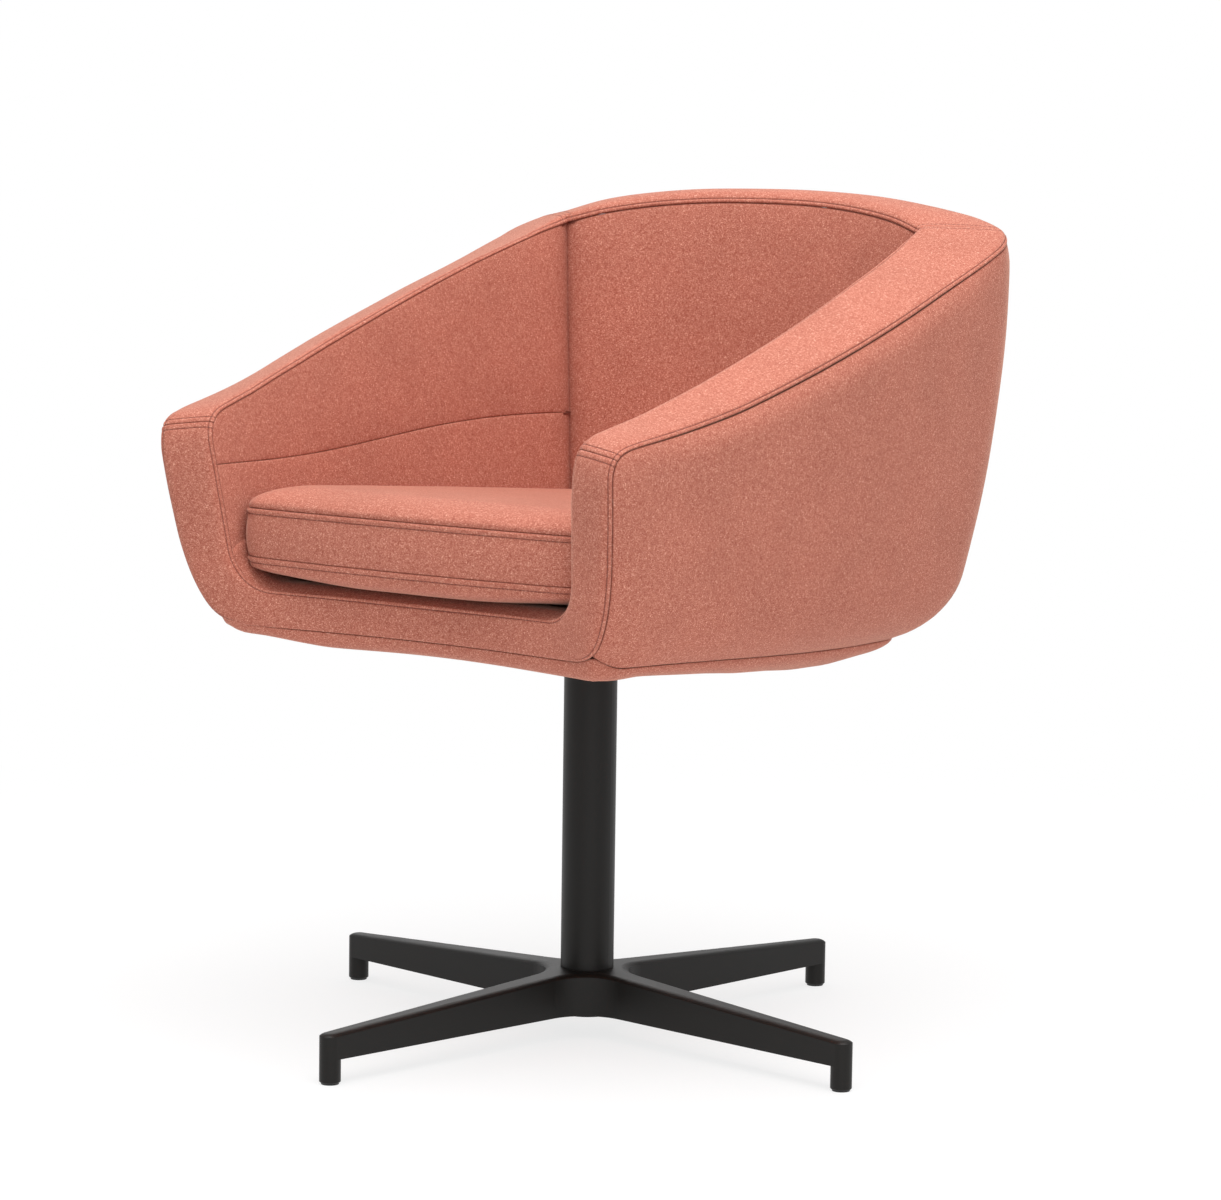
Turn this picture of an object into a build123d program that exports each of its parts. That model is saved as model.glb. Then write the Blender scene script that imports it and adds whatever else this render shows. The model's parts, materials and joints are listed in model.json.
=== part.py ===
from build123d import *

import os
from math import asin, atan2, cos, radians, sin, sqrt, tan

# Swivel tub armchair on a four-legged base with a round column.
# Millimetres, +Z up. The floor is z = 0, the column stands on the Z axis
# and the seat faces -Y. Right is +X.

# Tub, outside
tub_bottom = 371.0
tub_half_width = 303.0
tub_widest_y = 35.0
tub_side_bow = 1700.0
tub_back_y = 321.0
tub_back_bow = 1400.0
tub_corner_radius = 80.0
tub_flare_radius = 1600.0
tub_flare_angle = 11.1
tub_base_radius = 81.0

# Tub, inside, with the plan taken at the reference height
inner_reference = 700.0
inner_half_width = 237.0
inner_widest_y = -45.0
inner_side_bow = 1310.0
inner_back_y = 253.0
inner_back_bow = 590.0
inner_lean = 6.84
deck_height = 429.0
deck_corner_radius = 30.0

# Rim: heights of its inner edge, how far its outer edge drops, and its crown
arm_front_height = 580.0
rim_corner_height = 757.0
back_centre_height = 777.0
rim_drop = 6.5
rim_outer_sag = 6.0
arm_crown = 4.0
corner_crown = 6.0
back_crown = 14.0

# Front face: a leaning scoop
front_y = -277.0
front_reference = 590.0
front_lean = 7.6
front_scoop_radius = 850.0

# Fabric panels
fabric = 2.5
bottom_seam_height = 395.0
arm_seam_front = 542.0
arm_seam_back = 565.0
arm_seam_sway = 5.0
deck_seam_rise = 7.0
column_hole_clearance = 0.5

# Wooden frame
board_thickness = 15.0
board_below_deck = 6.0
board_edge_setback = 4.0
board_front_setback = 26.0
panel_setback = 16.0
panel_thickness = 12.0
panel_rim_setback = 24.0
panel_front_setback = 26.0
pad_edge_gap = 4.0
screw_diameter = 4.5
screw_head_diameter = 9.0
screw_head_height = 3.0
screw_length = 36.0
arm_screw_stations = (-170.0, -20.0, 130.0)
back_screw_offset = 90.0

# Loose cushion
cushion_clearance = 3.0
cushion_rest_gap = 0.3
cushion_front_y = -283.0
cushion_front_bow = 1600.0
cushion_seam_low = 459.0
cushion_seam_high = 504.0
cushion_top_height = 517.0
cushion_crown_reach = 110.0
cushion_side_swell = 2.0
cushion_front_corner = 26.0
cushion_back_corner = 20.0

# Column and swivel
column_diameter = 50.0
column_wall = 2.5
column_top = 380.0
plug_height = 30.0
spigot_diameter = 30.0
spigot_length = 18.0
spindle_diameter = 25.0
spindle_flange_diameter = 40.0
spindle_flange_height = 4.0
spindle_taper = 2.0
running_clearance = 0.05
bush_height = 30.0
bush_flange_height = 3.0
bush_flange_diameter = 49.0
flange_clearance = 3.0
race_thickness = 2.0
race_inner_diameter = 22.0
race_outer_diameter = 42.0
ball_diameter = 4.6
ball_clearance = 0.2
ball_count = 12
ball_circle_diameter = 32.0
cage_thickness = 2.0
slip_washer_thickness = 2.7
slip_washer_clearance = 0.3
plate_thickness = 4.0
plate_width = 180.0
plate_corner_radius = 22.0
plate_boss_diameter = 46.0
plate_gusset_thickness = 5.0
plate_gusset_reach = 78.0
plate_gusset_count = 4
plate_pocket_clearance = 8.0
bolt_spacing = 140.0
bolt_diameter = 8.0
bolt_hole_clearance = 0.5
bolt_head_diameter = 14.0
bolt_head_height = 5.3
bolt_length = 17.0
tee_nut_flange_diameter = 22.0
tee_nut_flange_height = 1.5
tee_nut_barrel_diameter = 11.0
tee_nut_barrel_length = 11.0

# Four-legged base
leg_count = 4
base_turn = -8.0
foot_circle_radius = 322.0
leg_tip_half_width = 9.75
leg_root_half_width = 16.0
leg_web_radius = 43.0
leg_underside = 23.0
leg_tip_top = 46.0
hub_top = 63.0
hub_bottom = 20.0
hub_radius = 29.0
leg_crown_radius = 10.0
leg_crown_overhang = 3.0
casting_wall = 4.0
casting_roof = 6.0
tip_solid_length = 17.0
rib_thickness = 3.0
rib_stations = (120.0, 210.0)
column_socket_depth = 5.0
column_socket_clearance = 0.15
hub_floor = 6.0
hub_recess_diameter = 34.0
column_bolt_diameter = 12.0
column_bolt_head_across = 19.0
column_bolt_head_height = 7.5
column_bolt_length = 34.0
column_washer_diameter = 24.0
column_washer_thickness = 2.5

# Glides
glide_diameter = 19.5
glide_edge_chamfer = 1.0
pad_diameter = 16.0
pad_thickness = 3.0
pad_stand_out = 1.5
stud_diameter = 8.0
stud_length = 24.0
stud_depth_in_leg = 14.0

# Where curved faces are sampled, as shares of an arc, and the cushion's crown in degrees
round_shares = (1.0, 0.66, 0.32, 0.0)
flare_shares = (1.0, 0.5, 0.0)
arm_rim_shares = (-0.3, 0.05, 0.4, 0.7)
cushion_crown_angles = (0.0, 27.0, 54.0, 80.0)

# Reach of the tools that trim the tub
far_front_y = -420.0
far_top = 900.0
blank_top = 840.0
far_side = 700.0
rim_reach = 30.0
mitre_overrun = 24.0

side_centre = Vector(tub_half_width - tub_side_bow, tub_widest_y)
back_centre = Vector(0, tub_back_y - tub_back_bow)
inner_side_centre = Vector(inner_half_width - inner_side_bow, inner_widest_y)
inner_back_centre = Vector(0, inner_back_y - inner_back_bow)


def crossing(first, first_radius, second, second_radius):
    """Point behind and to the right where two circles in plan cross."""
    gap = second - first
    along = (first_radius**2 - second_radius**2 + gap.length**2) / (2 * gap.length)
    aside = sqrt(first_radius**2 - along**2)
    unit = gap.normalized()
    foot = first + unit * along
    across = Vector(-unit.Y, unit.X) * aside
    return max((foot + across, foot - across), key=lambda point: point.X + point.Y)


def toward(centre, point, radius):
    return centre + (point - centre).normalized() * radius


def at_y(centre, radius, y):
    """Right-hand point of a plan circle at a given y."""
    return Vector(centre.X + sqrt(radius**2 - (y - centre.Y) ** 2), y)


def raised(point, z):
    return Vector(point.X, point.Y, z)


def mirrored(point):
    return Vector(-point.X, point.Y, point.Z)


def closed(*edges):
    return Wire(edges)


def one(shape):
    """A boolean result as a plain solid, or as a compound where it has several."""
    pieces = shape.solids()
    return pieces[0] if len(pieces) == 1 else Compound(pieces)


def upright_height():
    """Height at which the outside of the tub stands vertical."""
    angle = radians(tub_flare_angle)
    base_end = tub_bottom + tub_base_radius * (1 - sin(angle))
    return base_end + tub_flare_radius * sin(angle)


def outer_inset(z):
    """How far the outside has drawn in at a height."""
    turn = radians(tub_flare_angle)
    base_end = tub_bottom + tub_base_radius * (1 - sin(turn))
    if z < base_end:
        rise = 1 - (z - tub_bottom) / tub_base_radius
        reach = tub_flare_radius * (1 - cos(turn)) + tub_base_radius * cos(turn)
        return reach - tub_base_radius * sqrt(1 - rise**2)
    below = max(upright_height() - z, 0)
    return tub_flare_radius - sqrt(tub_flare_radius**2 - below**2)


def outer_profile():
    """Outside from the underside up, in three runs of slope from vertical, inset, height."""
    turn = radians(tub_flare_angle)
    base_inset = tub_flare_radius * (1 - cos(turn)) + tub_base_radius * cos(turn)
    base_run = []
    for share in round_shares:
        angle = turn + share * (radians(90) - turn)
        inset = base_inset - tub_base_radius * cos(angle)
        base_run.append((angle, inset, tub_bottom + tub_base_radius * (1 - sin(angle))))
    flare_run = []
    for share in flare_shares:
        angle = turn * share
        inset = tub_flare_radius * (1 - cos(angle))
        flare_run.append((angle, inset, upright_height() - tub_flare_radius * sin(angle)))
    return base_run, flare_run, [flare_run[-1], (0.0, 0.0, blank_top)]


def outer_corner(inset):
    side_radius = tub_side_bow - inset
    back_radius = tub_back_bow - inset
    reach = tub_corner_radius
    return crossing(side_centre, side_radius - reach, back_centre, back_radius - reach)


def outer_outline(inset, z):
    side_radius = tub_side_bow - inset
    back_radius = tub_back_bow - inset
    corner = outer_corner(inset)
    side_end = toward(side_centre, corner, side_radius)
    back_end = toward(back_centre, corner, back_radius)
    turn = toward(corner, (side_end + back_end) * 0.5, tub_corner_radius)
    front = at_y(side_centre, side_radius, far_front_y)
    waist = at_y(side_centre, side_radius, (far_front_y + side_end.Y) / 2)
    front, waist, side_end, turn, back_end = (
        raised(point, z) for point in (front, waist, side_end, turn, back_end)
    )
    back = Vector(0, back_centre.Y + back_radius, z)
    return closed(
        Line(mirrored(front), front),
        ThreePointArc(front, waist, side_end),
        ThreePointArc(side_end, turn, back_end),
        ThreePointArc(back_end, back, mirrored(back_end)),
        ThreePointArc(mirrored(back_end), mirrored(turn), mirrored(side_end)),
        ThreePointArc(mirrored(side_end), mirrored(waist), mirrored(front)),
    )


def stacked(runs, outline, depth):
    """Block lofted run by run, each step moved inwards by a depth square to the surface."""
    blocks = []
    for run in runs:
        sections = []
        for angle, inset, z in run:
            sections.append(outline(inset + depth * cos(angle), z + depth * sin(angle)))
        blocks.append(Solid.make_loft(sections))
    return one(blocks[0].fuse(*blocks[1:]))


def outer_form(depth):
    """Closed block of the tub's outside, drawn in by a depth."""
    return stacked(outer_profile(), outer_outline, depth)


def inner_corner(inset):
    """Corner between arm and back. It moves along the mitre as the plan draws in."""
    start = crossing(inner_side_centre, inner_side_bow, inner_back_centre, inner_back_bow)
    side_normal = (start - inner_side_centre).normalized()
    back_normal = (start - inner_back_centre).normalized()
    mitre = (side_normal + back_normal).normalized()
    return start - mitre * (inset / mitre.dot(side_normal)), mitre


def wall_inset(z):
    return (inner_reference - z) * tan(radians(inner_lean))


def inner_edges(inset, z):
    """Right arm, back and left arm arcs of the inside at a height."""
    corner, _ = inner_corner(inset)
    side_radius = (corner - inner_side_centre).length
    back_radius = (corner - inner_back_centre).length
    front = raised(at_y(inner_side_centre, side_radius, far_front_y), z)
    waist_y = (far_front_y + corner.Y) / 2
    waist = raised(at_y(inner_side_centre, side_radius, waist_y), z)
    corner = raised(corner, z)
    back = Vector(0, inner_back_centre.Y + back_radius, z)
    return (
        ThreePointArc(front, waist, corner),
        ThreePointArc(corner, back, mirrored(corner)),
        ThreePointArc(mirrored(corner), mirrored(waist), mirrored(front)),
    )


def inner_outline(inset, z):
    right, back, left = inner_edges(inset, z)
    return closed(right, back, left, Line(left @ 1, right @ 0))


def inner_profile():
    """Inside from the deck up, in two runs of slope from vertical, inset, height."""
    lean = radians(inner_lean)
    round_top = deck_height + deck_corner_radius * (1 - sin(lean))
    round_run = []
    for share in round_shares:
        angle = lean + share * (radians(90) - lean)
        inset = wall_inset(round_top) + deck_corner_radius * (cos(lean) - cos(angle))
        round_run.append((angle, inset, deck_height + deck_corner_radius * (1 - sin(angle))))
    return round_run, [round_run[-1], (lean, wall_inset(far_top), far_top)]


def inner_form(depth):
    """Closed block of the seat space, grown by a depth."""
    return stacked(inner_profile(), inner_outline, -depth)


def rim_section(inner, outer, crown, drop):
    """Crowned line across the rim between two points, closed far above it."""
    across = raised(outer, 0) - raised(inner, 0)
    half = across.length / 2
    step = across.normalized() * rim_reach
    slope = (outer.Z - inner.Z) / across.length * rim_reach
    fall = crown * (((half + rim_reach) / half) ** 2 - 1)
    start = inner - step + Vector(0, 0, -slope - fall - drop)
    end = outer + step + Vector(0, 0, slope - fall - drop)
    peak = (inner + outer) * 0.5 + Vector(0, 0, crown - drop)
    return closed(
        ThreePointArc(start, peak, end),
        Line(end, raised(end, far_top)),
        Line(raised(end, far_top), raised(start, far_top)),
        Line(raised(start, far_top), start),
    )


def arm_rim(share):
    """Inner and outer rim points on the right arm, from the front (0) to the corner (1)."""
    inner_end, outer_end = corner_rim()
    inner_y = front_y + share * (inner_end.Y - front_y)
    outer_y = front_y + share * (outer_end.Y - front_y)
    inner_z = arm_front_height + share * (rim_corner_height - arm_front_height)
    outer_z = inner_z - rim_drop - rim_outer_sag * max(4 * share * (1 - share), 0)
    inner = at_y(inner_side_centre, inner_side_bow - wall_inset(inner_z), inner_y)
    outer = at_y(side_centre, tub_side_bow - outer_inset(outer_z), outer_y)
    return raised(inner, inner_z), raised(outer, outer_z)


def corner_rim():
    """Inner and outer rim points on the mitre between the right arm and the back."""
    corner, mitre = inner_corner(wall_inset(rim_corner_height))
    centre = outer_corner(0)
    gap = corner - centre
    along = gap.dot(mitre)
    run = sqrt(along**2 - gap.dot(gap) + tub_corner_radius**2) - along
    outer_z = rim_corner_height - rim_drop
    return raised(corner, rim_corner_height), raised(corner + mitre * run, outer_z)


def back_rim(share):
    """Inner and outer rim points behind, from the middle (0) to the right corner (1)."""
    corner, _ = inner_corner(wall_inset(rim_corner_height))
    x = corner.X * share
    inner_z = back_centre_height - (back_centre_height - rim_corner_height) * share**2
    inner_radius = inner_back_bow - wall_inset(inner_z)
    inner_y = inner_back_centre.Y + sqrt(inner_radius**2 - x**2)
    outer_y = back_centre.Y + sqrt(tub_back_bow**2 - x**2)
    return Vector(x, inner_y, inner_z), Vector(x, outer_y, inner_z - rim_drop)


def past_mitre(step):
    """The corner section moved along the rim, so that a tool runs past the mitre."""
    _, mitre = inner_corner(0)
    shift = Vector(-mitre.Y, mitre.X) * step
    inner, outer = corner_rim()
    return inner + shift, outer + shift


def arm_top_tool(drop):
    """Everything above the right arm's rim, lowered by a drop."""
    sections = []
    for share in arm_rim_shares:
        crown = arm_crown + (corner_crown - arm_crown) * max(share, 0)
        sections.append(rim_section(*arm_rim(share), crown, drop))
    sections.append(rim_section(*corner_rim(), corner_crown, drop))
    sections.append(rim_section(*past_mitre(mitre_overrun), corner_crown, drop))
    return Solid.make_loft(sections)


def back_top_tool(drop):
    """Everything above the rim of the back, lowered by a drop."""
    right = [rim_section(*past_mitre(-mitre_overrun), corner_crown, drop)]
    right.append(rim_section(*corner_rim(), corner_crown, drop))
    right.append(rim_section(*back_rim(0.5), (corner_crown + 3 * back_crown) / 4, drop))
    middle = rim_section(*back_rim(0.0), back_crown, drop)
    left = [section.mirror(Plane.YZ) for section in reversed(right)]
    return Solid.make_loft([*right, middle, *left])


def front_tool(depth):
    """Everything in front of the scooped front face, moved back by a depth."""
    lean = radians(front_lean)
    inward = Vector(0, cos(lean), sin(lean))
    place = Vector(0, front_y, front_reference) - inward * front_scoop_radius
    scoop = Cylinder(front_scoop_radius + depth, 4 * far_side)
    return Pos(*place) * Rot(front_lean, 0, 0) * scoop


def slab(low, high):
    block = Box(2 * far_side, 2 * far_side, high - low)
    return Pos(0, 0, (low + high) / 2) * block


def back_region():
    """Wedge behind the two mitre planes."""
    corner, mitre = inner_corner(0)
    tip_y = corner.Y - corner.X * mitre.Y / mitre.X
    side = Vector(far_side, tip_y + far_side * mitre.Y / mitre.X)
    far = max(side.Y, far_side)
    points = [(0, tip_y), (side.X, side.Y), (side.X, far + 1), (-side.X, far + 1)]
    points.append((-side.X, side.Y))
    return extrude(make_face(Polyline(*points, close=True)), far_top)


def right_region(wedge):
    half = Pos(far_side / 2, 0, far_top / 2) * Box(far_side, 4 * far_side, far_top)
    return half - wedge


def below_arm_seam():
    """Everything under the seam that runs along the inside of the arms."""
    corner, _ = inner_corner(0)
    middle_y = (front_y + corner.Y) / 2
    middle_z = (arm_seam_front + arm_seam_back) / 2
    seam = Spline(
        (0, far_front_y, arm_seam_front - arm_seam_sway / 2),
        (0, (front_y + middle_y) / 2, (arm_seam_front + middle_z) / 2 - arm_seam_sway),
        (0, (corner.Y + middle_y) / 2, (arm_seam_back + middle_z) / 2 + arm_seam_sway),
        (0, far_side, arm_seam_back + arm_seam_sway / 2),
    )
    floor_front = (0, far_front_y, 0)
    floor_back = (0, far_side, 0)
    sides = (Line(seam @ 1, floor_back), Line(floor_back, floor_front))
    face = Face(closed(seam, *sides, Line(floor_front, seam @ 0)))
    return extrude(face, far_side, both=True)


def wall_block(depth):
    """Seat space with straight walls down to the board, grown sideways by a depth."""
    heights = (board_bottom, blank_top)
    return Solid.make_loft([inner_outline(wall_inset(z) - depth, z) for z in heights])


def rod(diameter, low, high, x=0.0, y=0.0):
    """Upright cylinder between two heights."""
    return Pos(x, y, low) * Cylinder(diameter / 2, high - low, align=standing)


def ring(outer, inner, low, high):
    return rod(outer, low, high) - rod(inner, low, high)


def hexagon(across, low, high, x=0.0, y=0.0):
    plan = RegularPolygon(across / 2, 6, major_radius=False)
    return Pos(x, y, low) * extrude(plan, high - low)


standing = (Align.CENTER, Align.CENTER, Align.MIN)

# Heights of the tub's stack, from the deck down
board_top = deck_height - board_below_deck
board_bottom = board_top - board_thickness
plate_bottom = board_bottom - plate_thickness

# Heights of the column's stack, from the hub up
tube_bottom = hub_top - column_socket_depth
hub_floor_top = tube_bottom - spigot_length
hub_floor_bottom = hub_floor_top - hub_floor
plug_top = tube_bottom + plug_height
ball_gap_bottom = plug_top + race_thickness
ball_gap_top = ball_gap_bottom + ball_diameter + 2 * ball_clearance
flange_bottom = ball_gap_top + race_thickness
flange_top = flange_bottom + spindle_flange_height
lower_bush_bottom = flange_top + flange_clearance
bush_flange_top = column_top + bush_flange_height
boss_bottom = bush_flange_top + slip_washer_clearance + slip_washer_thickness
column_bore = column_diameter - 2 * column_wall

nodes = {}


def make_base_star():
    """Cast base: crowned tapering legs, hub, and a ribbed hollow underneath."""

    def plan(grow):
        """Star of legs that taper between a hub circle and round tips."""
        root, tip = leg_root_half_width + grow, leg_tip_half_width + grow
        slant = asin((root - tip) / foot_circle_radius)
        start = Vector(-root / 2, root / cos(slant) + root / 2 * tan(slant))
        end = Vector(foot_circle_radius + tip * sin(slant), tip * cos(slant))
        low_start, low_end = Vector(start.X, -start.Y), Vector(end.X, -end.Y)
        leg = Face(
            closed(
                Line(start, end),
                ThreePointArc(end, (foot_circle_radius + tip, 0), low_end),
                Line(low_end, low_start),
                Line(low_start, start),
            )
        )
        star = Sketch() + [Rot(0, 0, index * leg_step) * leg for index in range(leg_count)]
        notches = [v for v in star.vertices() if Vector(*v).length < 2 * leg_web_radius]
        return fillet(notches, leg_web_radius - grow)

    def roof(drop):
        """Cone that the tops of the legs follow, lowered by a drop."""
        tip_end = foot_circle_radius + leg_tip_half_width
        fall = (hub_top - leg_tip_top) / (tip_end - column_diameter / 2)
        far = tip_end + 4 * leg_crown_overhang
        peak = hub_top + fall * column_diameter / 2 - drop
        edge = peak - fall * far
        points = [(0, hub_bottom), (far, hub_bottom), (far, edge), (0, peak)]
        face = Plane.XZ * make_face(Polyline(*points, close=True))
        return Rot(0, 0, leg_step / 2) * revolve(face, Axis.Z)

    def rise(sketch, low):
        return Pos(0, 0, low) * extrude(sketch, hub_top, dir=(0, 0, 1))

    leg_step = 360.0 / leg_count
    socket = rod(column_diameter + 2 * column_socket_clearance, tube_bottom, far_top)
    wide = one(one(rise(plan(leg_crown_overhang), leg_underside) & roof(0)) - socket)
    rims = [e for e in wide.edges() if e.geom_type != GeomType.LINE]
    rims = [e for e in rims if e.bounding_box().min.Z > leg_underside]
    rims = [e for e in rims if e.geom_type != GeomType.CIRCLE]
    crowned = one(wide.fillet(leg_crown_radius, rims))
    star = crowned & rise(plan(0), leg_underside)
    hollow = rise(plan(-casting_wall), leg_underside) & roof(casting_roof)
    hollow -= rod(2 * hub_radius + 2 * casting_wall, 0, far_top)
    for index in range(leg_count):
        turn = Rot(0, 0, index * leg_step)
        hollow -= turn * rod(2 * tip_solid_length, 0, far_top, foot_circle_radius)
        for station in rib_stations:
            rib = Box(rib_thickness, 2 * leg_web_radius, far_top)
            hollow -= turn * Pos(station, 0, 0) * rib
    star = one(one(star) - hollow.solids())
    star = one(star + one(rod(2 * hub_radius, hub_bottom, hub_floor_top)))
    bores = [rod(spigot_diameter, hub_floor_top, tube_bottom)]
    bores.append(rod(column_bolt_diameter + 2 * bolt_hole_clearance, hub_bottom, hub_floor_top))
    bores.append(rod(hub_recess_diameter, hub_bottom, hub_floor_bottom))
    for bore in bores:
        star = one(star - bore)
    star = Rot(0, 0, base_turn) * star
    for place in foot_places():
        hole = rod(stud_diameter, leg_underside, leg_underside + stud_depth_in_leg)
        star = one(star - place * hole)
    nodes["base_star"] = star


def foot_places():
    """Places of the feet, one under each leg tip."""
    angles = [base_turn + index * 360.0 / leg_count for index in range(leg_count)]
    return [Rot(0, 0, angle) * Pos(foot_circle_radius, 0, 0) for angle in angles]


def make_glides():
    stud_top = leg_underside + stud_depth_in_leg
    stud = rod(stud_diameter, stud_top - stud_length, stud_top)
    pad = rod(pad_diameter, 0, pad_thickness)
    glide = rod(glide_diameter, pad_stand_out, leg_underside)
    rims = [e for e in glide.edges() if e.geom_type == GeomType.CIRCLE]
    glide = chamfer(min(rims, key=lambda e: e.center().Z), glide_edge_chamfer)
    glide = glide - pad - stud
    places = foot_places()
    for index, place in enumerate(places, start=1):
        nodes[f"glide_{index}"] = one(place * glide)
    nodes["glide_studs"] = Compound([one(place * stud) for place in places])
    nodes["glide_pads"] = Compound([one(place * pad) for place in places])


def make_column():
    nodes["column_tube"] = one(ring(column_diameter, column_bore, tube_bottom, column_top))
    plug = rod(column_bore, tube_bottom, plug_top) + rod(spigot_diameter, hub_floor_top, tube_bottom)
    bolt_seat = hub_floor_bottom - column_washer_thickness
    bolt_top = bolt_seat + column_bolt_length
    bolt = rod(column_bolt_diameter, bolt_seat, bolt_top)
    bolt += hexagon(column_bolt_head_across, bolt_seat - column_bolt_head_height, bolt_seat)
    washer = rod(column_washer_diameter, bolt_seat, hub_floor_bottom)
    nodes["column_plug"] = one(plug - bolt)
    nodes["column_bolt"] = one(bolt)
    nodes["column_washer"] = one(washer - bolt)
    bush_bore = spindle_diameter + 2 * running_clearance
    lower_top = lower_bush_bottom + bush_height
    nodes["lower_bush"] = one(ring(column_bore, bush_bore, lower_bush_bottom, lower_top))
    upper = rod(column_bore, column_top - bush_height, column_top)
    upper += rod(bush_flange_diameter, column_top, bush_flange_top)
    nodes["upper_bush"] = one(upper - rod(bush_bore, 0, far_top))


def make_thrust_bearing():
    inner, outer = race_inner_diameter, race_outer_diameter
    middle = (ball_gap_bottom + ball_gap_top) / 2
    turns = [Rot(0, 0, index * 360.0 / ball_count) for index in range(ball_count)]
    place = Pos(ball_circle_diameter / 2, 0, middle)
    balls = [one(turn * place * Sphere(ball_diameter / 2)) for turn in turns]
    cage = ring(outer, inner, middle - cage_thickness / 2, middle + cage_thickness / 2)
    for turn in turns:
        cage -= turn * place * Cylinder(ball_diameter / 2 + ball_clearance, cage_thickness * 2)
    nodes["thrust_race_lower"] = one(ring(outer, inner, plug_top, ball_gap_bottom))
    nodes["thrust_balls"] = Compound(balls)
    nodes["thrust_cage"] = one(cage)
    nodes["thrust_race_upper"] = one(ring(outer, inner, ball_gap_top, flange_bottom))


def make_swivel():
    """Spindle with its lower flange and taper, the slip washer and the seat plate."""
    spindle = rod(spindle_flange_diameter, flange_bottom, flange_top)
    spindle += rod(spindle_diameter, flange_top, boss_bottom)
    large, small = spindle_diameter / 2, (spindle_diameter - spindle_taper) / 2
    taper = Cone(large, small, board_bottom - boss_bottom, align=standing)
    spindle += Pos(0, 0, boss_bottom) * taper
    nodes["spindle"] = one(spindle)
    washer_bore = spindle_diameter + 2 * running_clearance
    washer_bottom = boss_bottom - slip_washer_thickness
    nodes["slip_washer"] = one(ring(plate_boss_diameter, washer_bore, washer_bottom, boss_bottom))
    plate = extrude(RectangleRounded(plate_width, plate_width, plate_corner_radius), plate_thickness)
    plate = Pos(0, 0, plate_bottom) * plate + rod(plate_boss_diameter, boss_bottom, plate_bottom)
    drop = plate_bottom - boss_bottom
    gusset = make_face(Polyline((0, 0), (plate_gusset_reach, 0), (0, -drop), close=True))
    gusset = extrude(Plane.XZ * gusset, plate_gusset_thickness / 2, both=True)
    for index in range(plate_gusset_count):
        turn = (index + 0.5) * 360.0 / plate_gusset_count
        plate += Pos(0, 0, plate_bottom) * Rot(0, 0, turn) * gusset
    plate -= spindle
    for x, y in bolt_points():
        plate -= rod(bolt_diameter + 2 * bolt_hole_clearance, 0, far_top, x, y)
    nodes["swivel_plate"] = one(plate)


def bolt_points():
    half = bolt_spacing / 2
    return [(half, half), (-half, half), (-half, -half), (half, -half)]


def make_board():
    """Seat board with its fasteners: plate bolts, tee nuts and panel screws."""
    bolts, nuts, screws = [], [], []
    for x, y in bolt_points():
        bolt = rod(bolt_diameter, plate_bottom, plate_bottom + bolt_length, x, y)
        bolt += hexagon(bolt_head_diameter, plate_bottom - bolt_head_height, plate_bottom, x, y)
        nut = rod(tee_nut_flange_diameter, board_top, board_top + tee_nut_flange_height, x, y)
        nut += rod(tee_nut_barrel_diameter, board_top - tee_nut_barrel_length, board_top, x, y)
        bolts.append(one(bolt))
        nuts.append(one(nut - rod(bolt_diameter, 0, far_top, x, y)))
    for x, y in screw_points():
        shank = rod(screw_diameter, board_bottom, board_bottom + screw_length, x, y)
        head = Cone(screw_head_diameter / 2, screw_diameter / 2, screw_head_height, align=standing)
        screws.append(one(shank + Pos(x, y, board_bottom) * head))
    edge = outer_inset(board_bottom) + board_edge_setback
    board = extrude(Face(outer_outline(edge, board_bottom)), board_thickness, dir=(0, 0, 1))
    blank = one(board - front_tool(board_front_setback))
    board = blank
    for x, y in bolt_points():
        board -= rod(bolt_diameter + 2 * bolt_hole_clearance, 0, far_top, x, y)
        board -= rod(tee_nut_barrel_diameter, board_top - tee_nut_barrel_length, far_top, x, y)
    nodes["seat_board"] = one(board - screws)
    nodes["plate_bolts"] = Compound(bolts)
    nodes["tee_nuts"] = Compound(nuts)
    nodes["panel_screws"] = Compound(screws)
    return blank, nuts, screws


def screw_points():
    """Screws through the board into the middle of the upright panels."""
    depth = wall_inset(board_top) - panel_setback - panel_thickness / 2
    side_radius = inner_side_bow - depth
    back_radius = inner_back_bow - depth
    points = []
    for y in arm_screw_stations:
        x = at_y(inner_side_centre, side_radius, y).X
        points += [(x, y), (-x, y)]
    y = inner_back_centre.Y + sqrt(back_radius**2 - back_screw_offset**2)
    return [*points, (back_screw_offset, y), (-back_screw_offset, y)]


def both_sides(name, right_piece):
    nodes[f"{name}_right"] = one(right_piece)
    nodes[f"{name}_left"] = one(right_piece).mirror(Plane.YZ)


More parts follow.
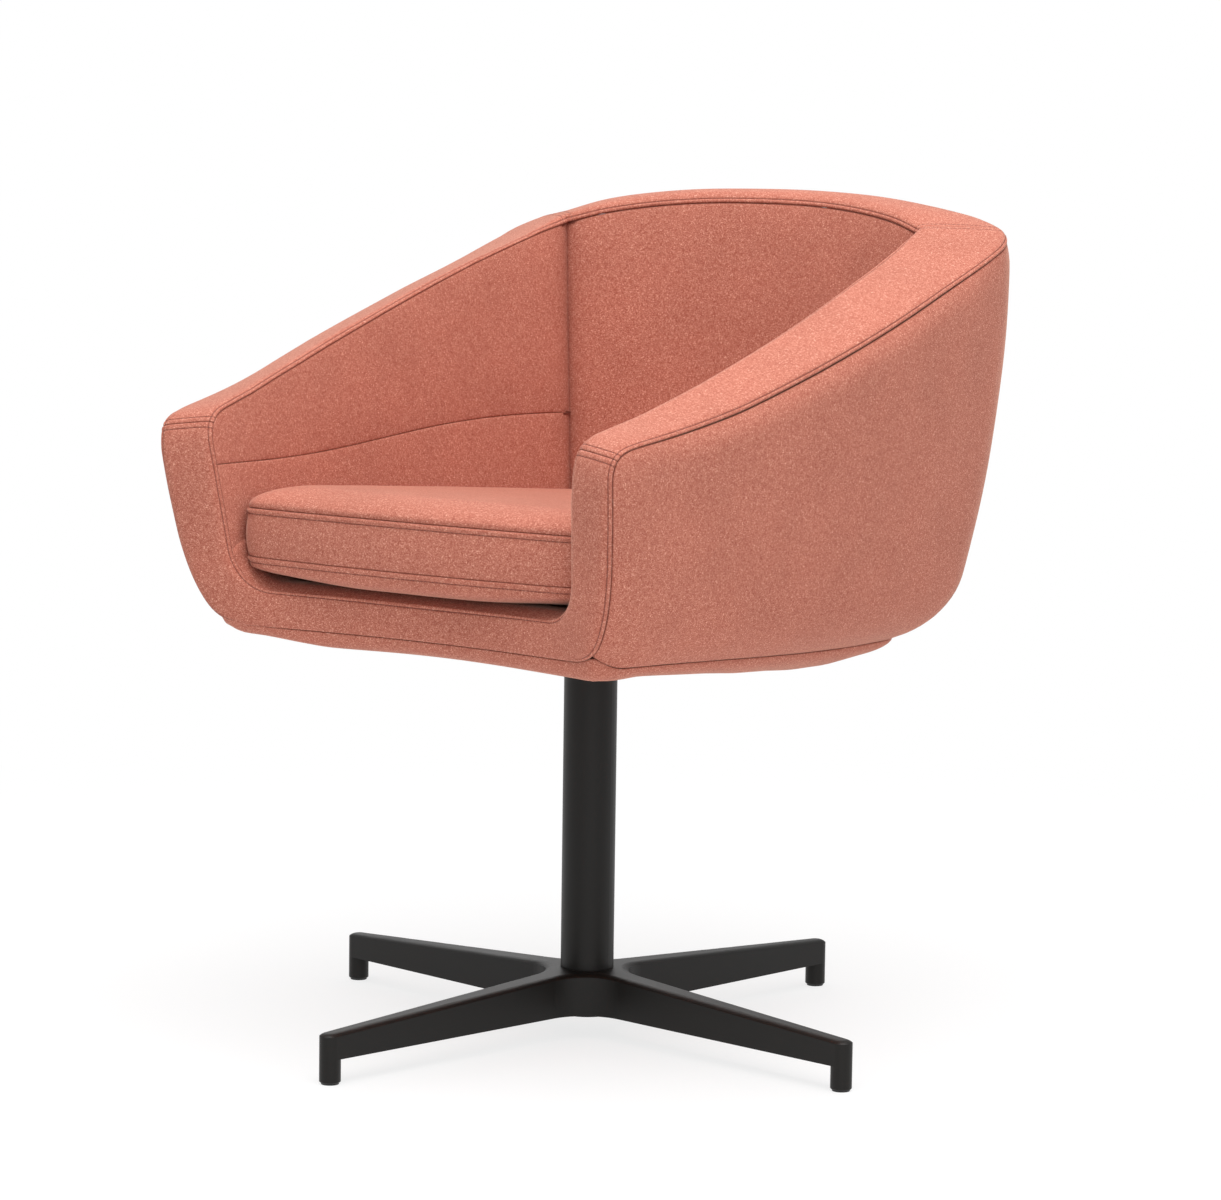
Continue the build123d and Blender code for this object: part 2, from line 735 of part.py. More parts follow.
def make_padding(board_blank, nuts, screws):
    """Wooden panels, and the foam around them."""
    panels = wall_block(panel_setback + panel_thickness) - wall_block(panel_setback)
    panels = panels & slab(board_top, far_top)
    arm_panel = (panels & right) - front_tool(panel_front_setback) - arm_top_tool(panel_rim_setback)
    back_panel = (panels & wedge) - back_top_tool(panel_rim_setback)
    above = outer_core & slab(board_top, far_top)
    pad_inset = wall_inset(board_top) - panel_setback + pad_edge_gap
    pad_plan = Face(inner_outline(pad_inset, board_top))
    pad_block = extrude(pad_plan, board_below_deck - fabric, dir=(0, 0, 1))
    arm_foam = (above & right) - inner_core - pad_block - front_core - arm_top_core
    back_foam = (above & wedge) - inner_core - pad_block - back_top_core
    pocket = plate_width + 2 * plate_pocket_clearance
    under = (outer_core & slab(0, board_top)) - front_core - board_blank
    under -= Pos(0, 0, board_bottom / 2) * Box(pocket, pocket, board_bottom)
    both_sides("arm_panel", arm_panel - screws)
    nodes["back_panel"] = one(back_panel - screws)
    both_sides("arm_foam", arm_foam - arm_panel)
    nodes["back_foam"] = one(back_foam - back_panel)
    nodes["deck_pad"] = one(pad_block - inner_core - front_core - nuts)
    nodes["underseat_foam"] = one(under - screws)


def make_covers():
    """Fabric panels over the padding, each one fabric thickness deep."""
    outside = outer_skin - outer_core
    wall = outer_skin - inner_skin
    lining = inner_core - inner_skin
    raised_skin = outside & slab(bottom_seam_height, far_top)
    side = (raised_skin & right) - front_core - arm_top_core
    rear = (raised_skin & wedge) - back_top_core
    side = one(side)
    nodes["outside_cover"] = one(side.fuse(one(rear), side.mirror(Plane.YZ)))
    hole = rod(column_diameter + 2 * column_hole_clearance, 0, far_top)
    nodes["underside_cover"] = one((outside & slab(0, bottom_seam_height)) - front_core - hole)
    border = one((wall & right & front_core) - front_skin - arm_top_skin)
    nodes["front_border"] = one(border.fuse(border.mirror(Plane.YZ)))
    both_sides("arm_top", (wall & right & arm_top_core) - arm_top_skin - front_core)
    nodes["back_top"] = one((wall & wedge & back_top_core) - back_top_skin)
    deck_seam = deck_height + deck_seam_rise
    upright_lining = lining & slab(deck_seam, far_top)
    arm_lining = (upright_lining & right) - front_core - arm_top_core
    both_sides("arm_inside_upper", arm_lining - below_arm_seam())
    both_sides("arm_inside_lower", arm_lining & below_arm_seam())
    nodes["back_inside"] = one((upright_lining & wedge) - back_top_core)
    nodes["deck_cover"] = one((lining & slab(0, deck_seam)) - front_core)


def cushion_outline(inset, z):
    """Plan of the cushion: bowed front, sides and back that follow the seat space."""
    middle = (cushion_seam_low + cushion_seam_high) / 2
    corner, _ = inner_corner(wall_inset(middle) + cushion_clearance + inset)
    side_radius = (corner - inner_side_centre).length
    back_radius = (corner - inner_back_centre).length
    front_centre = Vector(0, cushion_front_y + inset + cushion_front_bow)
    front = crossing(inner_side_centre, side_radius, front_centre, cushion_front_bow)
    waist = at_y(inner_side_centre, side_radius, (front.Y + corner.Y) / 2)
    front, waist, corner = (raised(point, z) for point in (front, waist, corner))
    face = Face(
        closed(
            ThreePointArc(mirrored(front), Vector(0, cushion_front_y + inset, z), front),
            ThreePointArc(front, waist, corner),
            ThreePointArc(corner, Vector(0, inner_back_centre.Y + back_radius, z), mirrored(corner)),
            ThreePointArc(mirrored(corner), mirrored(waist), mirrored(front)),
        )
    )
    fronts = [v for v in face.vertices() if v.Y < 0]
    face = face.fillet_2d(cushion_front_corner, fronts)
    backs = [v for v in face.vertices() if (Vector(*v) - corner).length < 1]
    backs += [v for v in face.vertices() if (Vector(*v) - mirrored(corner)).length < 1]
    return face.fillet_2d(cushion_back_corner, backs).outer_wire()


def cushion_profile():
    """Bottom crown, border and top crown, as runs of slope, inset and height."""
    low, high = cushion_seam_low, cushion_seam_high
    turns = [radians(angle) for angle in cushion_crown_angles]
    depth = (low - deck_height - cushion_rest_gap) / sin(turns[-1])
    rise = (cushion_top_height - high) / sin(turns[-1])
    bottom, top = [], []
    for turn in turns:
        inset = cushion_crown_reach * (1 - cos(turn))
        reach = cushion_crown_reach * sin(turn)
        bottom.insert(0, (atan2(reach, depth * cos(turn)), inset, low - depth * sin(turn)))
        top.append((-atan2(reach, rise * cos(turn)), inset, high + rise * sin(turn)))
    border = [bottom[-1], (0.0, -cushion_side_swell, (low + high) / 2), top[0]]
    return bottom, border, top


def make_cushion():
    skin = stacked(cushion_profile(), cushion_outline, 0)
    core = stacked(cushion_profile(), cushion_outline, fabric)
    cover = skin - core
    nodes["cushion_core"] = core
    nodes["cushion_bottom"] = one(cover & slab(0, cushion_seam_low))
    nodes["cushion_border"] = one(cover & slab(cushion_seam_low, cushion_seam_high))
    nodes["cushion_top"] = one(cover & slab(cushion_seam_high, far_top))


# Blocks that the padding and the fabric share
wedge = back_region()
right = right_region(wedge)
outer_skin = outer_form(0)
outer_core = outer_form(fabric)
inner_skin = inner_form(0)
inner_core = inner_form(fabric)
front_skin = front_tool(0)
front_core = front_tool(fabric)
arm_top_skin = arm_top_tool(0)
arm_top_core = arm_top_tool(fabric)
back_top_skin = back_top_tool(0)
back_top_core = back_top_tool(fabric)

make_base_star()
make_glides()
make_column()
make_thrust_bearing()
make_swivel()
make_padding(*make_board())
make_covers()
make_cushion()

os.makedirs("parts", exist_ok=True)
for name, shape in nodes.items():
    export_step(shape, f"parts/{name}.step")
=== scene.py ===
import json
from math import atan2, cos, pi, radians, sin, sqrt, tan

import bpy
import numpy as np
from mathutils import Matrix, Vector


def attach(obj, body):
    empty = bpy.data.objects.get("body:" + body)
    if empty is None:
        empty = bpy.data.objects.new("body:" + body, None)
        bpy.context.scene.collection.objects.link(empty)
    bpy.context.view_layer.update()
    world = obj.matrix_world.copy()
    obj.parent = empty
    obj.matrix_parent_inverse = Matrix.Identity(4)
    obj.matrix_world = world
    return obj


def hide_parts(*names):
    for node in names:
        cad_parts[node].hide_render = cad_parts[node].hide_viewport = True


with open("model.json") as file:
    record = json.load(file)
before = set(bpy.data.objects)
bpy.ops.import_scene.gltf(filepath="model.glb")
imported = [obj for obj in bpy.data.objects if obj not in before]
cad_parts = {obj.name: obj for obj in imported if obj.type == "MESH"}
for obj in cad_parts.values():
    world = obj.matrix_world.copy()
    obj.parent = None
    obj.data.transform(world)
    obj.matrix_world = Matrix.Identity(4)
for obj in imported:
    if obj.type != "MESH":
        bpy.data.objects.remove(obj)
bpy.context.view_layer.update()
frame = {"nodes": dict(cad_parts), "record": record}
print("frame loaded")

# sizes of the tub in millimetres
tub = {
    "bottom": 371.0, "halfWidth": 305.2, "widestY": 35.0, "sideBow": 1700.0,
    "backY": 323.2, "backBow": 1400.0, "cornerRadius": 80.0,
    "flareRadius": 1600.0, "flareAngle": 11.1, "baseRadius": 81.0,
    "innerReference": 700.0, "innerHalfWidth": 237.0, "innerWidestY": -95.0, "innerSideBow": 1400.0,
    "innerBackY": 256.0, "innerBackBow": 590.0, "innerLean": 6.84,
    "deck": 429.0, "deckRound": 42.0,
    "armFront": 580.0, "innerRimCorner": 754.5, "rimCorner": 752.5, "backCentre": 776.0,
    "rimDrop": 3.5, "rimSag": 6.0,
    "frontRise": 13.5, "riseFrom": -150.0, "riseRun": 157.0, "riseMost": 1.15, "risePower": 1.6,
    "mitreEase": 2.0, "mitreReach": 24.0, "backRimPower": 2.4,
    "armCrown": 3.5, "cornerCrown": 9.0, "backCrown": 15.0,
    "frontY": -277.0, "frontZ": 590.0, "frontLean": 7.6, "frontScoop": 850.0,
    "armSeamFront": 542.0, "armSeamBack": 565.0, "armSeamSway": 5.0,
}
# how the outside panel rolls over to the seam at the rim
roll = {
    "inset": 8.8, "reach": 24.0,
    "frontLess": 4.6, "frontFrom": 190.0, "frontTo": 310.0,
    "rearLess": 6.0, "rearFrom": 120.0, "rearTo": 250.0,
}

sideCentre = np.array([tub["halfWidth"] - tub["sideBow"], tub["widestY"]])
backCentre = np.array([0.0, tub["backY"] - tub["backBow"]])
innerSideCentre = np.array([tub["innerHalfWidth"] - tub["innerSideBow"], tub["innerWidestY"]])
innerBackCentre = np.array([0.0, tub["innerBackY"] - tub["innerBackBow"]])


def crossing(first, firstRadius, second, secondRadius):
    gap = second - first
    span = np.linalg.norm(gap)
    along = (firstRadius**2 - secondRadius**2 + span**2) / (2 * span)
    aside = sqrt(firstRadius**2 - along**2)
    unit = gap / span
    across = np.array([-unit[1], unit[0]]) * aside
    return max((first + unit * along + across, first + unit * along - across), key=lambda p: p[0] + p[1])


def toward(centre, point, radius):
    step = point - centre
    return centre + step / np.linalg.norm(step) * radius


def atY(centre, radius, y):
    return centre[0] + sqrt(radius**2 - (y - centre[1]) ** 2)


def smoothStep(value, low, high):
    share = np.clip((value - low) / (high - low), 0.0, 1.0)
    return share * share * (3 - 2 * share)


def outerInset(z):
    turn = radians(tub["flareAngle"])
    baseEnd = tub["bottom"] + tub["baseRadius"] * (1 - sin(turn))
    if z < baseEnd:
        rise = 1 - (z - tub["bottom"]) / tub["baseRadius"]
        reach = tub["flareRadius"] * (1 - cos(turn)) + tub["baseRadius"] * cos(turn)
        return reach - tub["baseRadius"] * sqrt(max(1 - rise**2, 0.0))
    below = max(baseEnd + tub["flareRadius"] * sin(turn) - z, 0.0)
    return tub["flareRadius"] - sqrt(tub["flareRadius"] ** 2 - below**2)


def outerCorner(inset):
    reach = tub["cornerRadius"]
    return crossing(sideCentre, tub["sideBow"] - inset - reach, backCentre, tub["backBow"] - inset - reach)


def outerEnds(inset):
    corner = outerCorner(inset)
    sideEnd = toward(sideCentre, corner, tub["sideBow"] - inset)
    return corner, sideEnd, toward(backCentre, corner, tub["backBow"] - inset)


def outerX(y, inset):
    corner, sideEnd, _ = outerEnds(inset)
    if y <= sideEnd[1]:
        return atY(sideCentre, tub["sideBow"] - inset, y)
    return corner[0] + sqrt(max(tub["cornerRadius"] ** 2 - (y - corner[1]) ** 2, 0.0))


def outerBackY(x, inset):
    corner, _, backEnd = outerEnds(inset)
    if x <= backEnd[0]:
        return backCentre[1] + sqrt((tub["backBow"] - inset) ** 2 - x**2)
    return corner[1] + sqrt(max(tub["cornerRadius"] ** 2 - (x - corner[0]) ** 2, 0.0))


startCorner = crossing(innerSideCentre, tub["innerSideBow"], innerBackCentre, tub["innerBackBow"])
sideNormal = (startCorner - innerSideCentre) / np.linalg.norm(startCorner - innerSideCentre)
backNormal = (startCorner - innerBackCentre) / np.linalg.norm(startCorner - innerBackCentre)
mitre = (sideNormal + backNormal) / np.linalg.norm(sideNormal + backNormal)


def innerCorner(inset):
    return startCorner - mitre * (inset / mitre.dot(sideNormal))


def wallInset(z):
    return (tub["innerReference"] - z) * tan(radians(tub["innerLean"]))


def innerX(y, inset):
    return atY(innerSideCentre, np.linalg.norm(innerCorner(inset) - innerSideCentre), y)


def innerBackYAt(x, inset):
    radius = np.linalg.norm(innerCorner(inset) - innerBackCentre)
    return innerBackCentre[1] + sqrt(radius**2 - x**2)


# front face, a leaning scoop
frontLean = radians(tub["frontLean"])
scoopY = tub["frontY"] - cos(frontLean) * tub["frontScoop"]
scoopZ = tub["frontZ"] - sin(frontLean) * tub["frontScoop"]


def frontFaceY(x, z):
    reach = sqrt(tub["frontScoop"] ** 2 - x**2)
    return scoopY + reach * cos(frontLean) - (z - scoopZ - reach * sin(frontLean)) * tan(frontLean)


def frontOn(xAtY, zAtY, y=-300.0):
    for _ in range(10):
        z = zAtY(y)
        y = frontFaceY(xAtY(y), z)
    return xAtY(y), y, z


# the rim's two edges, which meet the back's on a mitre
rimInnerEnd = innerCorner(wallInset(tub["innerRimCorner"]))
gapToCorner = rimInnerEnd - outerCorner(roll["inset"] - roll["rearLess"])
alongMitre = gapToCorner.dot(mitre)
mitreRun = sqrt(alongMitre**2 - gapToCorner.dot(gapToCorner) + tub["cornerRadius"] ** 2) - alongMitre
rimOuterEnd = rimInnerEnd + mitre * mitreRun

innerRise = {"places": [-300.0, -230.0, -150.0, -50.0, 100.0, 180.0, 223.0],
             "heights": [13.0, 6.5, 3.8, 2.3, 2.3, 0.6, 0.0]}


def frontRise(y):
    share = np.clip((tub["riseFrom"] - y) / tub["riseRun"], 0.0, tub["riseMost"])
    return tub["frontRise"] * share ** tub["risePower"]


def mitreEase(far):
    return tub["mitreEase"] * np.exp(-((far / tub["mitreReach"]) ** 2))


def armRimInnerZ(y):
    share = (y - tub["frontY"]) / (rimInnerEnd[1] - tub["frontY"])
    rise = np.interp(y, innerRise["places"], innerRise["heights"])
    line = tub["armFront"] + share * (tub["innerRimCorner"] - tub["armFront"]) + rise
    return line - mitreEase(rimInnerEnd[1] - y)


def armRimOuterZ(y):
    share = (y - tub["frontY"]) / (rimOuterEnd[1] - tub["frontY"])
    sag = tub["rimSag"] * max(4 * share * (1 - share), 0.0)
    line = tub["armFront"] - tub["rimDrop"] + share * (tub["rimCorner"] + tub["rimDrop"] - tub["armFront"]) - sag
    return line + frontRise(y) - mitreEase(rimOuterEnd[1] - y)


def backRimZ(share, centre, corner):
    line = centre - (centre - corner) * abs(share) ** tub["backRimPower"]
    return line - mitreEase((1 - abs(share)) * rimInnerEnd[0])


def backInnerZ(x):
    return backRimZ(x / rimInnerEnd[0], tub["backCentre"], tub["innerRimCorner"])


def backOuterZ(x):
    return backRimZ(x / rimOuterEnd[0], tub["backCentre"] - tub["rimDrop"], tub["rimCorner"])


def outerRimZ(x, y):
    if y < rimOuterEnd[1]:
        return armRimOuterZ(y)
    return backOuterZ(x)


def rolledInset(z, rimZ, y):
    most = roll["inset"] - roll["frontLess"] * smoothStep(-y, roll["frontFrom"], roll["frontTo"])
    most = most - roll["rearLess"] * smoothStep(y, roll["rearFrom"], roll["rearTo"])
    return outerInset(z) + most * max(1 - max(rimZ - z, 0.0) / roll["reach"], 0.0) ** 2


def sideX(y, z):
    return outerX(y, rolledInset(z, armRimOuterZ(y), y))


def armSeamZ(y):
    share = min(max((y - tub["frontY"]) / (rimInnerEnd[1] - tub["frontY"]), 0.0), 1.0)
    line = tub["armSeamFront"] + share * (tub["armSeamBack"] - tub["armSeamFront"])
    return line - tub["armSeamSway"] * sin(2 * pi * share)


# small mesh helpers
def deselectAll():
    if bpy.context.mode != "OBJECT":
        bpy.ops.object.mode_set(mode="OBJECT")
    bpy.ops.object.select_all(action="DESELECT")


def pickPiece(piece):
    deselectAll()
    piece.select_set(True)
    bpy.context.view_layer.objects.active = piece


def editAll(piece):
    pickPiece(piece)
    bpy.ops.object.mode_set(mode="EDIT")
    bpy.ops.mesh.select_all(action="SELECT")


def applyModifier(piece, kind, name, **settings):
    pickPiece(piece)
    modifier = piece.modifiers.new(name, kind)
    for key, value in settings.items():
        setattr(modifier, key, value)
    bpy.ops.object.modifier_apply(modifier=name)


def resampled(line, distances):
    steps = np.linalg.norm(np.diff(line[:, :3], axis=0), axis=1)
    run = np.concatenate([[0.0], np.cumsum(steps)])
    return np.stack([np.interp(distances, run, line[:, k]) for k in range(line.shape[1])], axis=1)


def runLength(line):
    return np.linalg.norm(np.diff(line[:, :3], axis=0), axis=1).sum()


def evenly(line, count):
    return resampled(line, np.linspace(0, runLength(line), count))


def unitRows(vectors):
    return vectors / np.maximum(np.linalg.norm(vectors, axis=-1, keepdims=True), 1e-9)


def unevenness(points):
    # slow, seeded-by-place ripples, so that no panel is quite regular
    x, y, z = points[..., 0], points[..., 1], points[..., 2]
    slow = np.sin(x / 17.0 + y / 31.0 + 0.7) * np.sin(y / 23.0 - z / 27.0 + 1.9)
    slower = np.sin(x / 43.0 - z / 38.0 + 2.3) * np.sin(y / 49.0 + z / 61.0 + 0.4)
    return 0.45 * slow + 0.55 * slower


# rows of a sewn border: distance from the edge and lift, then painted shade (darkness in seam grooves, stitch grooves
# and creases) and shift inwards where there is any
sewnRows = {
    "open": [(0.0, 0.0)],
    "plain": [(0.0, -1.9, 1.0, 0.1), (0.05, -1.0, 1.0), (0.3, -0.55, 1.0), (0.7, -0.2, 0.65), (1.2, -0.03, 0.2),
              (1.9, 0.06), (3.0, 0.12), (5.5, 0.1), (10.0, 0.0)],
    "flat": [(0.0, -1.8, 1.0, 0.1), (0.05, -0.9, 0.9), (0.25, -0.5, 0.55), (0.65, -0.16, 0.12), (1.4, 0.0),
             (3.2, 0.1), (6.5, 0.06), (11.0, 0.0)],
    "crease": [(0.0, -7.0, 1.0, -7.0), (0.5, -5.6, 0.9, -5.4), (1.4, -4.4, 0.6, -4.0), (3.0, -3.2, 0.35, -2.6),
               (6.0, -2.0, 0.18, -1.4), (11.0, -0.9, 0.08, -0.5), (18.0, -0.2, 0.02), (26.0, 0.0)],
    "welt": [(0.0, -1.9, 1.0, 0.1), (0.05, -0.9, 1.0), (0.3, -0.3, 0.85), (0.7, 0.25, 0.3), (1.3, 0.6), (2.2, 0.8),
             (3.1, 0.65), (3.7, 0.3, 0.05), (4.1, 0.0, 0.5), (4.5, -0.3, 1.0), (4.9, 0.0, 0.5), (5.4, 0.22, 0.05),
             (6.5, 0.32), (9.5, 0.15), (14.0, 0.0)],
    "cross": [(0.0, -1.6, 1.0, -0.2), (0.05, -0.7, 1.0), (0.3, -0.25, 0.7), (0.65, 0.1, 0.15), (1.6, 0.4),
              (3.2, 0.45), (4.7, 0.25), (5.2, 0.0, 0.4), (5.6, -0.25, 0.95), (6.0, 0.0, 0.4), (6.6, 0.12),
              (8.5, 0.12), (12.0, 0.0)],
    "mitre": [(0.0, -1.0, 0.7, -0.3), (0.05, -0.5, 0.6, -0.1), (0.25, -0.2, 0.35), (0.6, 0.05, 0.05), (1.6, 0.2),
              (3.2, 0.2), (4.8, 0.1), (5.35, 0.0, 0.15), (5.6, -0.15, 0.4), (5.85, 0.0, 0.15), (6.5, 0.08),
              (8.5, 0.08), (12.0, 0.0)],
}
sewn = {kind: [row + (0.0,) * (4 - len(row)) for row in rows] for kind, rows in sewnRows.items()}


def gradedRows(lengths, first, last, step):
    # distances along lines of given lengths: sewn rows at both ends, even rows between
    head, tail = sewn[first], sewn[last]
    reach = max(lengths) - head[-1][0] - tail[-1][0]
    count = max(int(np.ceil(reach / step)), 2)
    places = []
    for length in lengths:
        middle = np.linspace(head[-1][0], length - tail[-1][0], count + 1)[1:-1]
        places.append(np.concatenate([[r[0] for r in head], middle, [length - r[0] for r in reversed(tail)]]))
    blank = [(0.0, 0.0, 0.0)] * (count - 1)
    lift = [r[1:] for r in head] + blank + [(r[1], r[2], -r[3]) for r in reversed(tail)]
    return np.array(places), np.array(lift)


def spread(grid, axis):
    size = grid.shape[axis]
    index = np.arange(size)
    after = np.take(grid, np.minimum(index + 3, size - 1), axis=axis)
    before = np.take(grid, np.maximum(index - 3, 0), axis=axis)
    return after - before


# how a panel's padding dies away towards its seams
padding = {"calmReach": 18.0, "edgeRipple": 0.25, "edgeWidth": 0.4}


def panelPoints(fine, kinds, steps, puff, ripple, side):
    # kinds: borders of axis 0 (first, last), then of axis 1; a fourth value says how far the welt fades
    if fine.shape[2] == 3:
        fine = np.concatenate([fine, np.zeros(fine.shape[:2] + (1,))], axis=2)
    lengths = [runLength(fine[:, j]) for j in range(fine.shape[1])]
    places, rowLift = gradedRows(lengths, kinds[0], kinds[1], steps[0])
    rows = np.stack([resampled(fine[:, j], places[j]) for j in range(fine.shape[1])], axis=1)
    fromEnds = np.stack([np.stack([places[j], lengths[j] - places[j]]) for j in range(fine.shape[1])], axis=2)
    lengths = [runLength(rows[i]) for i in range(rows.shape[0])]
    across, columnLift = gradedRows(lengths, kinds[2], kinds[3], steps[1])
    grid = np.stack([resampled(rows[i], across[i]) for i in range(rows.shape[0])], axis=0)
    grid, fade = grid[:, :, :3], grid[:, :, 3]
    fineRun = np.linspace(0, 1, fine.shape[1])
    near = np.full(grid.shape[:2], 1e6)
    for i in range(grid.shape[0]):
        share = across[i] / lengths[i]
        for end in (0, 1):
            if kinds[end] != "open":
                near[i] = np.minimum(near[i], np.interp(share, fineRun, fromEnds[end, i]))
        if kinds[2] != "open":
            near[i] = np.minimum(near[i], across[i])
        if kinds[3] != "open":
            near[i] = np.minimum(near[i], lengths[i] - across[i])
    along, over = unitRows(spread(grid, 0)), unitRows(spread(grid, 1))
    normal = unitRows(np.cross(along, over)) * side
    calm = 1 - np.exp(-near / padding["calmReach"])
    uneven = padding["edgeRipple"] + (1 - padding["edgeRipple"]) * calm
    swell = puff * calm + ripple * unevenness(grid) * uneven
    edge = np.minimum(across, np.array(lengths)[:, None] - across) > padding["edgeWidth"]
    kept = 1 - fade * edge
    rowPart, columnPart = np.broadcast_arrays(rowLift[:, None, 0], columnLift[None, :, 0])
    columnPart = columnPart * kept
    sunk = (rowPart < 0) & (columnPart < 0)
    lift = np.where(sunk, np.minimum(rowPart, columnPart), rowPart + columnPart) + swell
    # painted shade: darkness along seam and stitch grooves and across creases, where shade falls
    dark = np.maximum(rowLift[:, None, 1], columnLift[None, :, 1] * kept)
    grid = grid + normal * lift[:, :, None]
    grid = grid + along * rowLift[:, None, 2, None] + over * columnLift[None, :, 2, None]
    return grid, dark, normal, fade


def gridPiece(name, grid, dark, flip, closeAround=False):
    # a primitive grid whose points are moved to the panel's rows
    rows, columns = grid.shape[:2]
    deselectAll()
    bpy.ops.mesh.primitive_grid_add(x_subdivisions=columns - 1, y_subdivisions=rows - 1, size=1.0)
    piece = bpy.context.active_object
    piece.name = name
    piece.data.name = name
    mesh = piece.data
    flat = np.zeros(len(mesh.vertices) * 3)
    mesh.vertices.foreach_get("co", flat)
    flat = flat.reshape(-1, 3)
    j = np.rint((flat[:, 0] + 0.5) * (columns - 1)).astype(int)
    i = np.rint((flat[:, 1] + 0.5) * (rows - 1)).astype(int)
    mesh.vertices.foreach_set("co", (grid[i, j] * 0.001).ravel())
    # this attribute carries painted shade along seam grooves, stitch grooves and creases
    shade = mesh.attributes.new("seam", "FLOAT", "POINT")
    shade.data.foreach_set("value", dark[i, j].ravel())
    mesh.update()
    editAll(piece)
    if closeAround:
        bpy.ops.mesh.remove_doubles(threshold=0.00001)
    if flip:
        bpy.ops.mesh.flip_normals()
    bpy.ops.object.mode_set(mode="OBJECT")
    return piece


def smoothPiece(piece):
    pickPiece(piece)
    bpy.ops.object.shade_smooth()


# shader wrapper: a socket with arithmetic, and one method for any other node
class Tint:
    def __init__(self, tree, socket=None):
        self.tree = tree
        self.socket = socket

    def put(self, kind, settings=None, inputs=None, out=0):
        node = self.tree.nodes.new(kind)
        for key, value in (settings or {}).items():
            setattr(node, key, value)
        for key, value in (inputs or {}).items():
            socket = node.inputs[key]
            if isinstance(value, Tint):
                self.tree.links.new(value.socket, socket)
            else:
                socket.default_value = value
        return Tint(self.tree, node.outputs[out] if len(node.outputs) else None)

    def maths(self, operation, first, second):
        return self.put("ShaderNodeMath", {"operation": operation}, {0: first, 1: second})

    def __add__(self, other):
        return self.maths("ADD", self, other)

    def __radd__(self, other):
        return self.maths("ADD", other, self)

    def __sub__(self, other):
        return self.maths("SUBTRACT", self, other)

    def __rsub__(self, other):
        return self.maths("SUBTRACT", other, self)

    def __mul__(self, other):
        return self.maths("MULTIPLY", self, other)

    def __rmul__(self, other):
        return self.maths("MULTIPLY", other, self)

    def noise(self, place, scale, detail=2.0, rough=0.5):
        return self.put("ShaderNodeTexNoise", {"noise_dimensions": "3D"},
                        {"Vector": place, "Scale": scale, "Detail": detail, "Roughness": rough})

    def stretched(self, place, scale, turn=(0.0, 0.0, 0.0)):
        return self.put("ShaderNodeMapping", {"vector_type": "TEXTURE"},
                        {"Vector": place, "Scale": scale, "Rotation": turn})

    def bump(self, height, strength, depth):
        return self.put("ShaderNodeBump", None, {"Height": height, "Strength": strength, "Distance": depth})

    def ramp(self, low, high):
        return self.put("ShaderNodeMapRange", {"clamp": True},
                        {"Value": self, "From Min": low, "From Max": high})

    def mixed(self, factor, first, second):
        return self.put("ShaderNodeMix", {"data_type": "RGBA"}, {"Factor": factor, 6: first, 7: second}, out=2)


def newMaterial(name):
    material = bpy.data.materials.new(name)
    material.use_nodes = True
    material.node_tree.nodes.clear()
    return material, Tint(material.node_tree)


def closeMaterial(sheet, inputs):
    shader = sheet.put("ShaderNodeBsdfPrincipled", None, inputs)
    sheet.put("ShaderNodeOutputMaterial", None, {"Surface": shader})


# salmon melange wool felt
felt = {
    "deep": (0.285, 0.078, 0.051, 1.0),
    "body": (0.425, 0.142, 0.097, 1.0),
    "pale": (0.740, 0.400, 0.300, 1.0),
    # colour of the painted shade in seam grooves and creases
    "seam": (0.170, 0.040, 0.026, 1.0),
    "fibre": 1200.0, "fleck": 900.0, "clump": 360.0, "cloud": 14.0,
    "rough": 0.92, "specular": 0.2, "bump": 0.45, "bumpDepth": 0.0008,
    "sheen": 0.45, "sheenRough": 0.3, "sheenTint": (1.0, 0.66, 0.52, 1.0),
}


def makeWoolFelt():
    material, sheet = newMaterial("woolFelt")
    place = sheet.put("ShaderNodeTexCoord", out=3)
    fibres = sheet.noise(place, felt["fibre"], 3.0, 0.7)
    flecks = sheet.noise(sheet.stretched(place, (1.6, 1.0, 1.0), (0.3, 0.2, 0.5)), felt["fleck"], 2.0, 0.6)
    clumps = sheet.noise(place, felt["clump"], 2.0, 0.55)
    clouds = sheet.noise(place, felt["cloud"], 2.0, 0.5)
    melange = fibres * 0.55 + flecks * 0.30 + clumps * 0.15
    colour = sheet.mixed(melange.ramp(0.41, 0.51), felt["deep"], felt["body"])
    colour = sheet.mixed(melange.ramp(0.52, 0.63) * 0.9, colour, felt["pale"])
    shade = clouds.ramp(0.25, 0.75) * 0.10 + 0.95
    colour = sheet.put("ShaderNodeVectorMath", {"operation": "SCALE"}, {0: colour, "Scale": shade})
    # painted shade: the felt darkens towards its groove colour in seam grooves, stitch grooves and creases
    seam = sheet.put("ShaderNodeAttribute", {"attribute_name": "seam"}, out=2)
    colour = sheet.mixed(seam.ramp(0.0, 1.0) * 0.8, colour, felt["seam"])
    height = fibres * 0.6 + flecks * 0.5 + clumps * 0.6
    closeMaterial(sheet, {
        "Base Color": colour, "Roughness": felt["rough"], "Specular IOR Level": felt["specular"],
        "Normal": sheet.bump(height, felt["bump"], felt["bumpDepth"]),
        "Sheen Weight": felt["sheen"], "Sheen Roughness": felt["sheenRough"], "Sheen Tint": felt["sheenTint"],
    })
    return material


thread = {"dark": (0.13, 0.030, 0.020, 1.0), "light": (0.20, 0.050, 0.034, 1.0), "twist": 2600.0, "rough": 0.6}


def makeThread():
    material, sheet = newMaterial("sewingThread")
    place = sheet.put("ShaderNodeTexCoord", out=3)
    twist = sheet.noise(place, thread["twist"], 1.0)
    colour = sheet.mixed(twist.ramp(0.3, 0.7), thread["dark"], thread["light"])
    closeMaterial(sheet, {"Base Color": colour, "Roughness": thread["rough"], "Normal": sheet.bump(twist, 0.4, 0.0002)})
    return material


